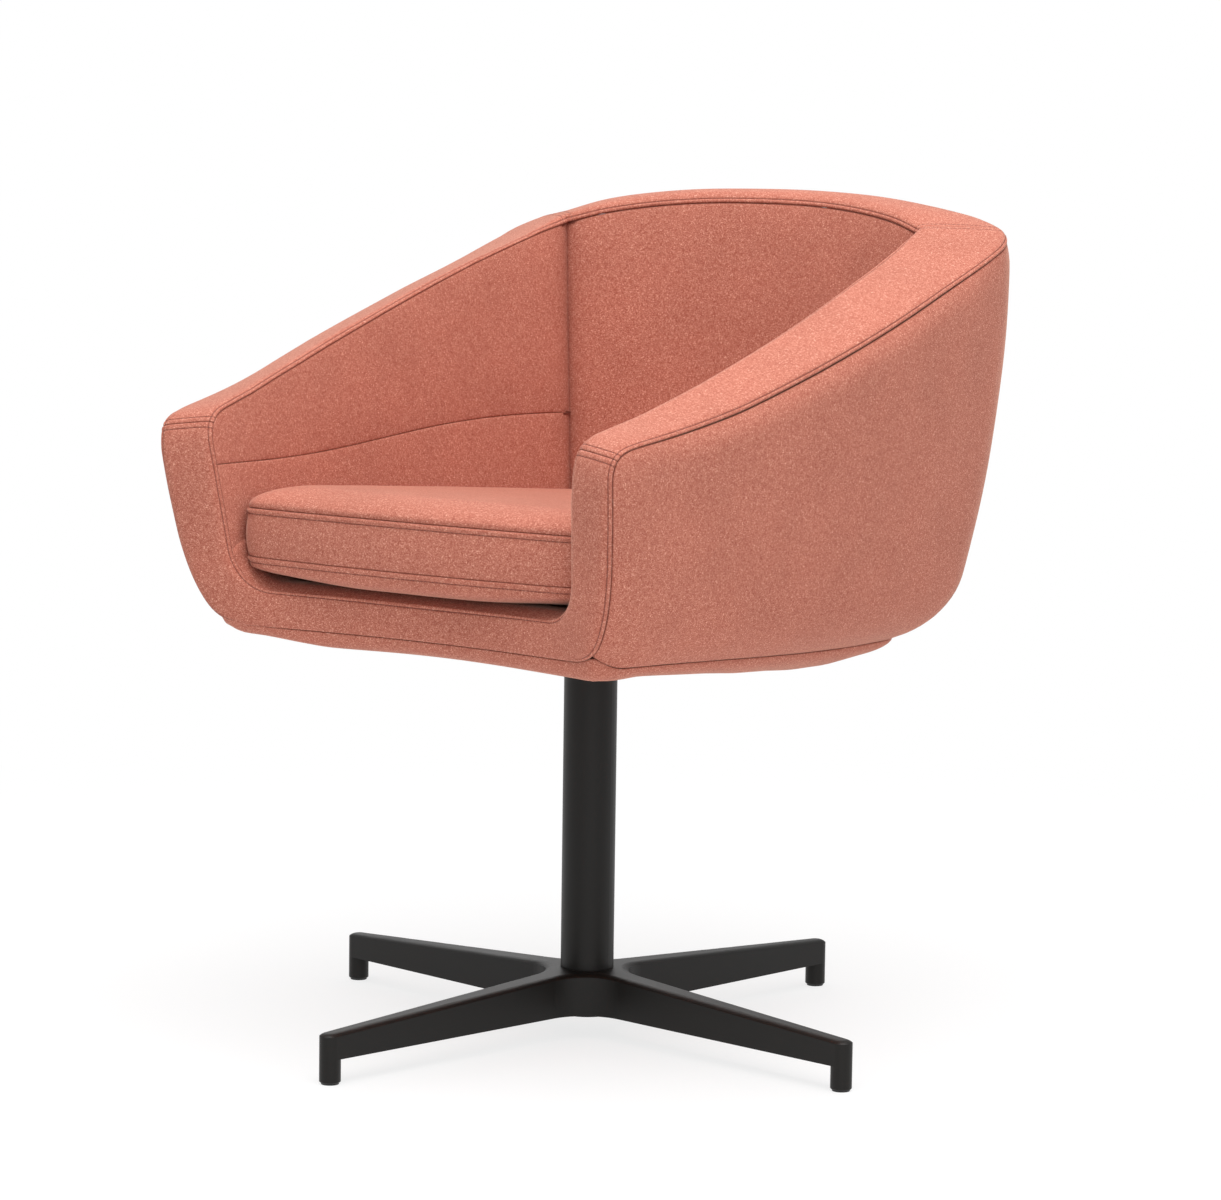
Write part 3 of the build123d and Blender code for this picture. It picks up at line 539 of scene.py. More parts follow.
# satin black coat of the column and the base
coat = {"dark": (0.0040, 0.0032, 0.0024, 1.0), "light": (0.0060, 0.0048, 0.0037, 1.0),
        "peel": 900.0, "broad": 9.0, "rough": 0.40, "specular": 0.3}


def makePowderCoat():
    material, sheet = newMaterial("blackPowderCoat")
    place = sheet.put("ShaderNodeTexCoord", out=3)
    peel = sheet.noise(place, coat["peel"])
    broad = sheet.noise(place, coat["broad"])
    colour = sheet.mixed(broad.ramp(0.3, 0.7), coat["dark"], coat["light"])
    rough = broad.ramp(0.25, 0.75) * 0.06 + peel.ramp(0.3, 0.7) * 0.04 + coat["rough"]
    closeMaterial(sheet, {"Base Color": colour, "Roughness": rough, "Specular IOR Level": coat["specular"],
                          "Normal": sheet.bump(peel, 0.12, 0.0002)})
    return material


def makePlain(name, dark, light, scale, rough, metal=0.0, stretch=(1.0, 1.0, 1.0)):
    material, sheet = newMaterial(name)
    place = sheet.stretched(sheet.put("ShaderNodeTexCoord", out=3), stretch)
    grain = sheet.noise(place, scale, 3.0, 0.55)
    colour = sheet.mixed(grain.ramp(0.3, 0.7), dark, light)
    closeMaterial(sheet, {"Base Color": colour, "Roughness": grain.ramp(0.2, 0.8) * 0.12 + rough,
                          "Metallic": metal, "Normal": sheet.bump(grain, 0.15, 0.0003)})
    return material


woolFelt = makeWoolFelt()
sewingThread = makeThread()
slotMaterials = {
    "powder_coat": makePowderCoat(),
    "glide_plastic": makePlain("glidePlastic", (0.012, 0.012, 0.012, 1), (0.02, 0.02, 0.02, 1), 700.0, 0.5),
    "plain_steel": makePlain("zincSteel", (0.42, 0.42, 0.43, 1), (0.56, 0.56, 0.57, 1), 400.0, 0.32, 1.0),
    "plywood": makePlain("birchPly", (0.46, 0.28, 0.13, 1), (0.60, 0.40, 0.21, 1), 60.0, 0.6, 0.0, (1, 1, 8)),
    "foam": makePlain("paleFoam", (0.62, 0.55, 0.40, 1), (0.74, 0.67, 0.50, 1), 500.0, 0.9),
    "wool_felt": woolFelt,
}
nodeSlots = {entry["node"]: entry["material_slot"] for entry in frame["record"]["subparts"]}
for nodeName, nodeObject in frame["nodes"].items():
    nodeObject.data.materials.clear()
    nodeObject.data.materials.append(slotMaterials[nodeSlots[nodeName]])
print("materials ready")

# upholstery panels
panelBuild = {"thickness": 0.0022, "fill": 0.9}
seatStitches = []
cushionStitches = []


def stitchRuns(grid, normal, fade, kinds, border):
    # the row at the bottom of a border's stitch groove, without the parts where the welt fades
    rows = sewn[kinds[border]]
    k = min(range(5, len(rows)), key=lambda n: rows[n][1])
    picked = [(table[k], table[-1 - k], table[:, k], table[:, -1 - k])[border] for table in (grid, normal, fade)]
    points = picked[0] + picked[1] * 0.18
    runs, run = [], []
    for point, faded in zip(points, picked[2]):
        if faded < 0.5:
            run.append(point)
        elif run:
            runs.append(run)
            run = []
    runs.append(run)
    return [np.array(run) for run in runs if len(run) > 3]


def dressPanel(name, fine, kinds, nodes, side, steps=(8.0, 8.0), puff=1.0, ripple=0.35, stitched=(), closed=False):
    grid, dark, normal, fade = panelPoints(fine, kinds, steps, puff, ripple, side)
    if closed:
        grid[-1] = grid[0]
    piece = gridPiece(name, grid, dark, side > 0, closed)
    applyModifier(piece, "SOLIDIFY", "cloth", thickness=panelBuild["thickness"], offset=-1.0, use_even_offset=False)
    piece.data.materials.append(woolFelt)
    smoothPiece(piece)
    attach(piece, "seat")
    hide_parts(*nodes)
    for border in stitched:
        seatStitches.extend(stitchRuns(grid, normal, fade, kinds, border))
    return piece


def mirroredFine(fine):
    return fine * np.array([-1.0, 1.0, 1.0, 1.0])[:fine.shape[-1]]


def easedCorner(fine, reach, fade):
    # the top front corner of a panel takes the strip's own turn, faded out over the panel
    down, back = unitRows(fine[0, -8] - fine[0, -1]), unitRows(fine[6, -1] - fine[0, -1])

    def eased(far, first, second):
        t = 0.5 * np.clip(1 - far / reach, 0.0, 1.0)[..., None]
        near = np.minimum(far, reach)[..., None]
        return reach * ((1 - t) ** 2 * first + t**2 * second) - near * first

    aside = np.linalg.norm(fine - fine[:1], axis=2)
    below = np.linalg.norm(fine - fine[:, -1:], axis=2)
    fadeAside = (np.clip(1 - aside / fade, 0, 1) ** 2)[..., None]
    fadeBelow = (np.clip(1 - below / fade, 0, 1) ** 2)[..., None]
    both = eased(np.zeros(1), down, back)[0]
    moved = eased(below, down, back) * fadeAside + eased(aside, back, down) * fadeBelow
    return fine + moved - both * fadeAside * fadeBelow


def filletPath(first, second, reach):
    # two polylines that meet at a corner, joined by a smooth turn; returns both halves
    firstRun, secondRun = runLength(first), runLength(second)
    head = resampled(first, np.linspace(0, firstRun - reach, 120))
    tail = resampled(second, np.linspace(reach, secondRun, 120))
    corner = second[0]
    t = np.linspace(0, 1, 41)[:, None]
    turn = (1 - t) ** 2 * head[-1] + 2 * t * (1 - t) * corner + t**2 * tail[0]
    return np.concatenate([head[:-1], turn[:21]]), np.concatenate([turn[20:], tail[1:]])


def nearestIndex(line, point):
    return int(np.argmin(np.linalg.norm(line - point, axis=1)))


def splitRuns(line, marks, counts):
    # resample between marked indices, so that two edges keep step
    parts = []
    for (low, high), count in zip(zip(marks[:-1], marks[1:]), counts):
        part = evenly(line[low:high + 1], count)
        parts.append(part if not parts else part[1:])
    return np.concatenate(parts)


strip = {"roll": 8.0, "dome": 1.0, "lead": 30.0}


def bandNormals(inner, outer, up):
    normal = unitRows(np.cross(np.gradient((inner + outer) / 2, axis=0), outer - inner))
    return -normal if normal[len(normal) // 2].dot(up) < 0 else normal


def leadInto(normal, line, first=None, last=None):
    # turn a band's normals to shared ones at its ends, so that two strips meet flush
    run = np.concatenate([[0.0], np.cumsum(np.linalg.norm(np.diff(line, axis=0), axis=1))])
    for shared, far in ((first, run), (last, run[-1] - run)):
        if shared is not None:
            weight = np.exp(-((far / strip["lead"]) ** 2))[:, None]
            normal = unitRows(normal * (1 - weight) + shared * weight)
    return normal


def bandBetween(inner, outer, crowns, normal, count=81):
    # surface from an inner edge to an outer edge, rolled at both edges and domed between
    s = 0.5 - 0.5 * np.cos(np.linspace(0, pi, count))
    base = inner[:, None] * (1 - s[None, :, None]) + outer[:, None] * s[None, :, None]
    width = np.linalg.norm(outer - inner, axis=1)[:, None]
    crowns = np.asarray(crowns)[:, None]
    near = np.minimum(np.minimum(s, 1 - s)[None] * width / strip["roll"], 1.0)
    rolled = np.minimum(crowns, strip["roll"]) * np.sqrt(1 - (1 - near) ** 2)
    domed = np.maximum(crowns - strip["roll"], strip["dome"]) * (1 - (2 * s[None] - 1) ** 2)
    return base + normal[:, None] * (rolled + domed)[:, :, None]


# the front border's outer edge, as widths at heights
frontBand = {
    "innerTurn": 28.0, "outerTurn": 27.0, "crown": 7.5, "lowCrown": 1.5, "corner": 402.5, "blend": 26.0,
    "bendTop": 447.0, "bendEnd": 165.0,
    "heights": [394.5, 394.7, 394.9, 395.8, 398.0, 402.0, 408.5, 419.0,
                431.0, 443.0, 460.0, 475.0, 495.0, 515.0, 540.0, 560.0],
    "widths": [0.0, 118.0, 155.0, 192.0, 201.5, 211.5, 219.5, 226.5,
               232.5, 237.3, 242.0, 245.3, 248.0, 250.8, 253.5, 255.5],
}


def armRimPaths():
    frontInner = frontOn(lambda y: innerX(y, wallInset(armRimInnerZ(y))), armRimInnerZ)[1]
    frontOuter = frontOn(lambda y: sideX(y, armRimOuterZ(y)), armRimOuterZ)[1]
    inner, outer = [], []
    for share in np.linspace(1, 0, 160):
        y = frontInner + share * (rimInnerEnd[1] - frontInner)
        z = armRimInnerZ(y)
        inner.append((innerX(y, wallInset(z)), y, z))
        y = frontOuter + share * (rimOuterEnd[1] - frontOuter)
        z = armRimOuterZ(y)
        outer.append((sideX(y, z), y, z))
    return np.array(inner), np.array(outer)


def deckTurn(count):
    # insets and heights along the rounding between wall and deck
    lean = radians(tub["innerLean"])
    start = wallInset(tub["deck"] + tub["deckRound"] * (1 - sin(lean)))
    angles = [lean + share * (pi / 2 - lean) for share in np.linspace(0, 1, count)]
    return [(start + tub["deckRound"] * (cos(lean) - cos(angle)), tub["deck"] + tub["deckRound"] * (1 - sin(angle)))
            for angle in angles]


def frontInnerPath(top):
    turn = deckTurn(24)
    points = [tuple(top)]
    for z in np.linspace(top[2], turn[0][1], 60)[1:]:
        points.append(frontOn(lambda y: innerX(y, wallInset(z)), lambda y: z))
    wall = len(points)
    for inset, z in turn[1:]:
        points.append(frontOn(lambda y: innerX(y, inset), lambda y: z))
    bend = len(points)
    for x in np.linspace(points[-1][0], 0, 40)[1:]:
        points.append((x, frontFaceY(x, tub["deck"]), tub["deck"]))
    return np.array(points), wall, bend


def frontOuterPath(top):
    edge = [(top[0], top[2])] + list(zip(frontBand["widths"], frontBand["heights"]))[::-1]
    edge = evenly(np.array(edge), 500)
    padded = np.concatenate([np.repeat(edge[:1], 12, axis=0), edge, np.repeat(edge[-1:], 12, axis=0)])
    eased = np.stack([np.convolve(padded[:, k], np.ones(25) / 25, "valid") for k in range(2)], axis=1)
    eased[0], eased[-1] = edge[0], edge[-1]
    return np.array([(x, frontFaceY(x, z), z) for x, z in eased])


rimInner, rimOuter = armRimPaths()
innerDown, innerWall, innerBend = frontInnerPath(rimInner[-1])
outerWhole = frontOuterPath(rimOuter[-1])
armInner, innerRest = filletPath(rimInner, innerDown, frontBand["innerTurn"])
armOuter, outerRest = filletPath(rimOuter, outerWhole, frontBand["outerTurn"])

innerMarks = [0] + [nearestIndex(innerRest, innerDown[k - 1]) for k in (innerWall, innerBend)] + [len(innerRest) - 1]
outerStart = nearestIndex(outerRest, outerWhole[np.argmin(abs(outerWhole[:, 2] - frontBand["bendTop"]))])
outerEnd = nearestIndex(outerRest, outerWhole[np.argmin(abs(outerWhole[:, 0] - frontBand["bendEnd"]))])
outerMarks = [0, outerStart, outerEnd, len(outerRest) - 1]
runCounts = (90, 60, 60)
halfInner = splitRuns(innerRest, innerMarks, runCounts)
halfOuter = splitRuns(outerRest, outerMarks, runCounts)

# arm tops from the mitre to the turn at the front, back top between the mitres, border round the front
armKinds = ("mitre", "cross", "welt", "welt")
backKinds = ("mitre", "mitre", "welt", "welt")
frontKinds = ("cross", "cross", "welt", "welt")
upward, forward = np.array([0.0, 0.0, 1.0]), np.array([0.0, -1.0, 0.0])
flipX = np.array([-1.0, 1.0, 1.0])

armIn, armOut = evenly(armInner, 220), evenly(armOuter, 220)
backShares = np.linspace(1, -1, 161)
backIn = np.array([(x, innerBackYAt(abs(x), wallInset(backInnerZ(x))), backInnerZ(x))
                   for x in rimInnerEnd[0] * backShares])
backOut = np.array([(x, outerBackY(abs(x), roll["inset"] - roll["rearLess"]), backOuterZ(x))
                    for x in rimOuterEnd[0] * backShares])
frontIn = np.concatenate([halfInner, mirroredFine(halfInner)[::-1][1:]])
frontOut = np.concatenate([halfOuter, mirroredFine(halfOuter)[::-1][1:]])

armWays = bandNormals(armIn, armOut, upward)
backWays = bandNormals(backIn, backOut, upward)
frontWays = bandNormals(frontIn, frontOut, forward)
mitreWay = unitRows(armWays[0] + backWays[0])
turnWay = unitRows(armWays[-1] + frontWays[0])
armWays = leadInto(armWays, armOut, first=mitreWay, last=turnWay)
backWays = leadInto(backWays, backOut, first=mitreWay, last=mitreWay * flipX)
frontWays = leadInto(frontWays, frontOut, first=turnWay, last=turnWay * flipX)

crownShares = (0.0, 0.05, 0.1, 0.2, 0.35, 0.6, 0.9, 1.0)
crownHeights = (tub["cornerCrown"], 5.5, 3.2, 3.2, 5.0, 6.0, 4.5, tub["armCrown"])
armCrowns = np.interp(np.linspace(0, 1, len(armIn)), crownShares, crownHeights)
armBand = bandBetween(armIn, armOut, armCrowns, armWays)
for sideName, band, side in (("Right", armBand, 1.0), ("Left", mirroredFine(armBand), -1.0)):
    low = sideName.lower()
    dressPanel("armTop" + sideName, band, armKinds, ("arm_top_" + low, "arm_foam_" + low), side, (4.0, 6.0), 0.4, 0.25,
               (0, 1, 2, 3))
print("arm tops")

backCrowns = tub["backCrown"] + (tub["cornerCrown"] - tub["backCrown"]) * backShares**6
dressPanel("backTop", bandBetween(backIn, backOut, backCrowns, backWays), backKinds, ("back_top", "back_foam"), -1.0,
           (6.0, 6.0), 0.4, 0.25, (0, 1, 2, 3))
print("back top")

rowCount = len(halfInner)
halfFade = smoothStep(np.arange(rowCount, dtype=float), runCounts[0] + 10.0, runCounts[0] + runCounts[1] + 5.0)
wholeFade = np.concatenate([halfFade, halfFade[::-1][1:]])
halfRise = smoothStep(np.arange(rowCount, dtype=float), 0.0, 40.0)
wholeRise = np.concatenate([halfRise, halfRise[::-1][1:]])
frontCrowns = tub["armCrown"] + (frontBand["crown"] - tub["armCrown"]) * wholeRise
frontCrowns = frontCrowns + (frontBand["lowCrown"] - frontBand["crown"]) * wholeFade
frontFine = bandBetween(frontIn, frontOut, frontCrowns, frontWays)
outerHalf = smoothStep(np.linspace(0.0, 1.0, frontFine.shape[1]), 0.45, 0.6)
frontFine = np.concatenate([frontFine, (wholeFade[:, None] * outerHalf)[:, :, None]], axis=2)
dressPanel("frontBorder", frontFine, frontKinds, ("front_border",), 1.0, (4.0, 5.0), 0.4, 0.25, (0, 1, 2, 3))
print("front border")

# outside, one panel from arm front to arm front
outsidePlan = {
    "side": 0.46, "corner": 0.60, "fineAlong": 150, "fineUp": 80,
    "seamFront": 391.0, "seamBack": 376.0, "dipReach": 0.028, "cornerFade": 45.0,
}
frontSideEdge = outerWhole[outerWhole[:, 2] > frontBand["corner"] - 4.0][::-1]


def frontEdge(z):
    # the outside panel's front edge, which is the front border's outer edge
    z = max(z, frontBand["corner"])
    x = np.interp(z, frontSideEdge[:, 2], frontSideEdge[:, 0])
    return x, frontFaceY(x, z)


def outsidePoint(a, z):
    # the roll at the rim needs the plan point, and the plan point needs the roll
    inset = outerInset(z)
    for _ in range(3):
        corner, sideEnd, backEnd = outerEnds(inset)
        if a <= outsidePlan["side"]:
            edge, front = frontEdge(z)
            far = a / outsidePlan["side"] * (sideEnd[1] - front)
            y = front + far
            short = max(sideX(front, z) - edge, 0.0)
            reach = frontBand["blend"] + 1.5 * short
            x = outerX(y, inset) - short * max(1 - far / reach, 0.0) ** 2
        elif a <= outsidePlan["corner"]:
            share = (a - outsidePlan["side"]) / (outsidePlan["corner"] - outsidePlan["side"])
            low = atan2(*(sideEnd - corner)[::-1])
            high = atan2(*(backEnd - corner)[::-1])
            angle = low + share * (high - low)
            x, y = corner[0] + tub["cornerRadius"] * cos(angle), corner[1] + tub["cornerRadius"] * sin(angle)
        else:
            x = backEnd[0] * (1 - (a - outsidePlan["corner"]) / (1 - outsidePlan["corner"]))
            y = outerBackY(x, inset)
        inset = rolledInset(z, outerRimZ(x, y), y)
    return x, y


def outsideTop(a):
    z = 700.0
    for _ in range(8):
        z = outerRimZ(*outsidePoint(a, z))
    return z


def outsideSeamZ(a):
    drop = outsidePlan["seamFront"] - outsidePlan["seamBack"]
    dip = (frontBand["corner"] - outsidePlan["seamFront"]) * max(1 - a / outsidePlan["dipReach"], 0.0) ** 2
    return outsidePlan["seamFront"] + dip - drop * smoothStep(a, 0.0, outsidePlan["side"])


def outsideFineHalf():
    # points are closer together near the front edge and near the rim
    fine = []
    down = np.linspace(1, 0, outsidePlan["fineUp"]) ** 1.5
    for a in np.linspace(0, 1, outsidePlan["fineAlong"]) ** 1.3:
        top = outsideTop(a)
        fine.append([(*outsidePoint(a, z), z) for z in top + down * (outsideSeamZ(a) - top)])
    return easedCorner(np.array(fine), frontBand["outerTurn"], outsidePlan["cornerFade"])


outsideHalf = outsideFineHalf()
outsideFine = np.concatenate([outsideHalf, mirroredFine(outsideHalf)[::-1][1:]])
dressPanel("outsidePanel", outsideFine, ("plain", "plain", "flat", "plain"), ("outside_cover",), 1.0, (8.0, 8.0),
           0.6, 0.5)
print("outside panel")

# inside of the arms, above and below the long seam
insidePlan = {"fineAlong": 70, "fineUp": 40, "backAlong": 101, "backUp": 60, "lowest": 438.0, "cornerFade": 40.0}


def armInsideFine(lowZ, highZ):
    fine = []
    for t in np.linspace(0, 1, insidePlan["fineAlong"]):
        column = []
        for v in np.linspace(0, 1, insidePlan["fineUp"]):
            y = tub["frontY"] + t * (rimInnerEnd[1] - tub["frontY"])
            for _ in range(6):
                z = lowZ(y) + v * (highZ(y) - lowZ(y))
                inset = wallInset(z)
                front = frontOn(lambda yy: innerX(yy, inset), lambda yy: z)[1]
                y = front + t * (innerCorner(inset)[1] - front)
            column.append((innerX(y, inset), y, z))
        fine.append(column)
    return np.array(fine)


armUpper = easedCorner(armInsideFine(armSeamZ, armRimInnerZ), frontBand["innerTurn"], insidePlan["cornerFade"])
armLower = armInsideFine(lambda y: insidePlan["lowest"], armSeamZ)
for sideName, mirror in (("Right", 1.0), ("Left", -1.0)):
    low = sideName.lower()
    flip = np.array([mirror, 1.0, 1.0])
    dressPanel("armInsideUpper" + sideName, armUpper * flip, ("plain", "crease", "flat", "plain"),
               ("arm_inside_upper_" + low,), -mirror, (8.0, 8.0), 2.0, 0.5)
    dressPanel("armInsideLower" + sideName, armLower * flip, ("plain", "crease", "open", "flat"),
               ("arm_inside_lower_" + low,), -mirror, (8.0, 8.0), 0.8, 0.4)
print("arm insides")

# inside of the back
backFine = []
for t in np.linspace(1, -1, insidePlan["backAlong"]):
    column = []
    for v in np.linspace(0, 1, insidePlan["backUp"]):
        z = 600.0
        for _ in range(6):
            x = t * innerCorner(wallInset(z))[0]
            z = insidePlan["lowest"] + v * (backInnerZ(x) - insidePlan["lowest"])
        column.append((x, innerBackYAt(abs(x), wallInset(z)), z))
    backFine.append(column)
dressPanel("backInside", np.array(backFine), ("crease", "crease", "open", "plain"), ("back_inside",), -1.0, (9.0, 9.0),
           2.6, 0.5)
print("back inside")

# deck under the cushion, turned up at its sides and back, padded along its front edge
deckPlan = {"lower": 1.0, "pad": 7.0, "padStart": 16.0, "padFrom": 30.0, "padTo": 90.0}
deckFine = []
deckProfile = deckTurn(16)
for t in np.linspace(0, 1, 60):
    right = []
    for inset, z in deckProfile:
        front = frontOn(lambda yy: innerX(yy, inset), lambda yy: z)[1]
        y = front + t * (innerCorner(inset)[1] - front)
        right.append((innerX(y, inset), y, z))
    for x in np.linspace(right[-1][0], 0, 24)[1:]:
        front = frontFaceY(x, tub["deck"])
        right.append((x, front + t * (innerBackYAt(x, deckProfile[-1][0]) - front), tub["deck"]))
    deckFine.append(right + [(-x, y, z) for x, y, z in reversed(right[:-1])])
deckFine = np.array(deckFine) - np.array([0.0, 0.0, deckPlan["lower"]])
frontGap = deckFine[:, :, 1] - deckFine[:1, :, 1]
fullPad = deckPlan["pad"] * smoothStep(frontGap, 0.0, deckPlan["padStart"])
deckFine[:, :, 2] += fullPad * (1 - smoothStep(frontGap, deckPlan["padFrom"], deckPlan["padTo"]))
dressPanel("deckPanel", deckFine, ("plain", "open", "open", "open"), ("deck_cover", "deck_pad"), 1.0, (8.0, 8.0),
           0.0, 0.0)
print("deck")

# underside, from the bottom seam to the hole round the column
under = {
    "hole": 25.6, "frontRound": 26.0, "lip": 2.4, "around": 360, "middle": 372.0,
    "places": [-310.0, -230.0, -130.0, -70.0, 0.0, 50.0, 100.0, 180.0, 260.0, 330.0],
    "heights": [378.5, 378.0, 371.0, 365.5, 361.0, 357.0, 355.5, 361.0, 367.5, 371.0],
    "frontFrom": -262.0, "frontTo": -225.0,
    "cornerLift": 8.0, "liftFrom": 110.0, "liftTo": 215.0, "cornerBevel": 0.75, "bevelFrom": 130.0, "bevelTo": 200.0,
}


def undersideFine():
    along = np.linspace(0, 1, 220)
    sideLoop = np.array([(*outsidePoint(a, outsideSeamZ(a)), outsideSeamZ(a)) for a in along])
    frontLoop = outerWhole[nearestIndex(outerWhole, sideLoop[0]) + 1:][::-1]
    half = np.concatenate([frontLoop, sideLoop])
    loop = np.concatenate([half, mirroredFine(half)[::-1][1:]])
    loop = evenly(loop, under["around"])
    loop[-1] = loop[0]
    fine = []
    for point in loop:
        x, y, z = point
        isFront = 1 - smoothStep(y, under["frontFrom"], under["frontTo"])
        angle = atan2(y, x)
        hole = np.array([under["hole"] * cos(angle), under["hole"] * sin(angle)])
        inward = (hole - point[:2]) / np.linalg.norm(hole - point[:2])
        bottom = np.interp(y, under["places"], under["heights"])
        bottom = bottom + under["cornerLift"] * smoothStep(-x, under["liftFrom"], under["liftTo"]) * isFront
        drop = max(z - bottom, 1.0)
        sideRun = sqrt(max(tub["baseRadius"] ** 2 - (tub["baseRadius"] - drop) ** 2, 1.0))
        run = sideRun * (1 - isFront) + under["frontRound"] * isFront
        bevel = under["cornerBevel"] * smoothStep(-x, under["bevelFrom"], under["bevelTo"]) * isFront
        column = []
        for t in np.linspace(0, 1, 30):
            inset = run * ((1 - bevel) * (1 - cos(t * pi / 2)) + bevel * t)
            column.append((*(point[:2] + inward * inset), z - drop * sin(t * pi / 2)))
        start = np.array(column[-1])
        for t in np.linspace(0, 1, 24)[1:]:
            flat = start[:2] + (hole - start[:2]) * t
            column.append((*flat, start[2] + (under["middle"] - start[2]) * smoothStep(t, 0.0, 1.0)))
        column.append((*(hole * 0.99), under["middle"] - under["lip"]))
        fine.append(column)
    return np.array(fine)


dressPanel("undersidePanel", undersideFine(), ("open", "open", "flat", "open"), ("underside_cover", "underseat_foam"),
           -1.0, (7.0, 7.0), 0.3, 0.3, closed=True)
print("underside")

# loose cushion
cushion = {
    "clearance": 0.4, "frontY": -286.0, "frontBow": 1500.0, "frontCorner": 32.0, "backCorner": 24.0, "rake": 35.0,
    "seamLow": 459.0, "seamHigh": 504.0, "topHeight": 524.5, "bottom": 429.8,
    "crownReach": 42.0, "ridge": 5.6, "around": 300, "fill": 0.85, "swell": 1.4, "ripple": 0.45, "mostPuff": 3.0,
    "frontTuck": 0.27, "cornerTuck": 0.27, "tuckFrom": 30.0, "tuckTo": 120.0, "tuckWide": (60.0, 190.0),
    "rakeRun": 500.0, "middle": (0.0, -30.0, 475.0), "frames": 20, "smoothing": 6,
}
clothRun = {
    "use_pressure": True, "uniform_pressure_force": 4.0, "tension_stiffness": 40.0, "compression_stiffness": 40.0,
    "bending_stiffness": 8.0, "mass": 0.4, "quality": 6, "pin_stiffness": 1.0,
}


def cushionOutline(inset):
    middle = (cushion["seamLow"] + cushion["seamHigh"]) / 2
    corner = innerCorner(wallInset(middle) + cushion["clearance"] + inset)
    sideRadius = np.linalg.norm(corner - innerSideCentre)
    backRadius = np.linalg.norm(corner - innerBackCentre)
    bow = cushion["frontBow"]
    frontCentreY = cushion["frontY"] + inset + bow
    y = cushion["frontY"] + inset
    for _ in range(8):
        x = atY(innerSideCentre, sideRadius, y)
        y = frontCentreY - sqrt(bow**2 - x**2)
    front = np.array([(t * x, frontCentreY - sqrt(bow**2 - (t * x) ** 2), 0.0) for t in np.linspace(0, 1, 60)])
    side = np.array([(atY(innerSideCentre, sideRadius, yy), yy, 0.0) for yy in np.linspace(y, corner[1], 90)])
    back = np.array([(t * corner[0], innerBackCentre[1] + sqrt(backRadius**2 - (t * corner[0]) ** 2), 0.0)
                     for t in np.linspace(1, 0, 60)])
    first, second = filletPath(front, side, cushion["frontCorner"])
    whole = np.concatenate([first, second[1:]])
    first, second = filletPath(whole, back, cushion["backCorner"])
    half = np.concatenate([first, second[1:]])
    loop = np.concatenate([half, mirroredFine(half)[::-1][1:]])
    loop = evenly(loop, cushion["around"] + 1)
    loop[-1] = loop[0]
    return loop


def cushionRings():
    # inset, height and painted seam shade (darkness in the seam grooves) of each ring, and whether it is a stitch row
    low, high, ridge = cushion["seamLow"], cushion["seamHigh"], cushion["ridge"]
    rise, depth = cushion["topHeight"] - high, low - cushion["bottom"]
    crown = cushion["crownReach"]
    rings = []
    for share in (1.0, 0.93, 0.85, 0.76, 0.66, 0.56, 0.46, 0.37, 0.29, 0.22, 0.16, 0.11, 0.07, 0.04, 0.02):
        rings.append((crown * share, high + rise * sqrt(1 - (1 - share) ** 2), 0.0, False))
    seamRows = [(1.0, 1.0, 0.1), (1.6, 0.25, 0.6), (2.6, 0.0, 1.0), (1.5, -0.25, 0.6), (0.5, -0.7, 0.1),
                (-0.3, -1.5, 0.0), (-0.6, -2.6, 0.0), (-0.3, -3.8, 0.0), (0.3, -ridge + 0.9, 0.0),
                (0.8, -ridge + 0.35, 0.3), (1.05, -ridge, 0.75), (0.8, -ridge - 0.35, 0.3),
                (0.35, -ridge - 1.1, 0.0), (0.1, -ridge - 3.0, 0.0)]
    rings += [(inset, high + dz, dark, dark == 0.75) for inset, dz, dark in seamRows]
    borderTop, borderLow = high - ridge - 3.0, low + 3.0
    for share in np.linspace(0, 1, 9)[1:-1]:
        bulge = 0.1 - cushion["swell"] * 4 * share * (1 - share)
        rings.append((bulge, borderTop + (borderLow - borderTop) * share, 0.0, False))
    lowRows = [(0.1, 3.0, 0.0), (0.4, 1.1, 0.0), (0.9, 0.35, 0.4), (1.9, 0.0, 1.0), (0.9, -0.3, 0.5), (0.2, -0.9, 0.05),
               (-0.2, -2.0, 0.0), (-0.1, -3.3, 0.0), (0.6, -ridge + 0.9, 0.0), (1.2, -ridge + 0.35, 0.3),
               (1.5, -ridge, 0.75), (1.4, -ridge - 0.35, 0.3), (1.2, -ridge - 1.1, 0.0)]
    rings += [(inset, low + dz, dark, dark == 0.75) for inset, dz, dark in lowRows]
    start = ridge + 1.1
    for share in (0.02, 0.05, 0.1, 0.17, 0.26, 0.37, 0.5, 0.65, 0.82, 1.0):
        drop = start + (depth - start) * sqrt(1 - (1 - share) ** 2)
        rings.append((1.2 + crown * share, low - drop, 0.0, False))
    return rings


def pointsOf(mesh):
    flat = np.zeros(len(mesh.vertices) * 3)
    mesh.vertices.foreach_get("co", flat)
    return flat.reshape(-1, 3) * 1000.0


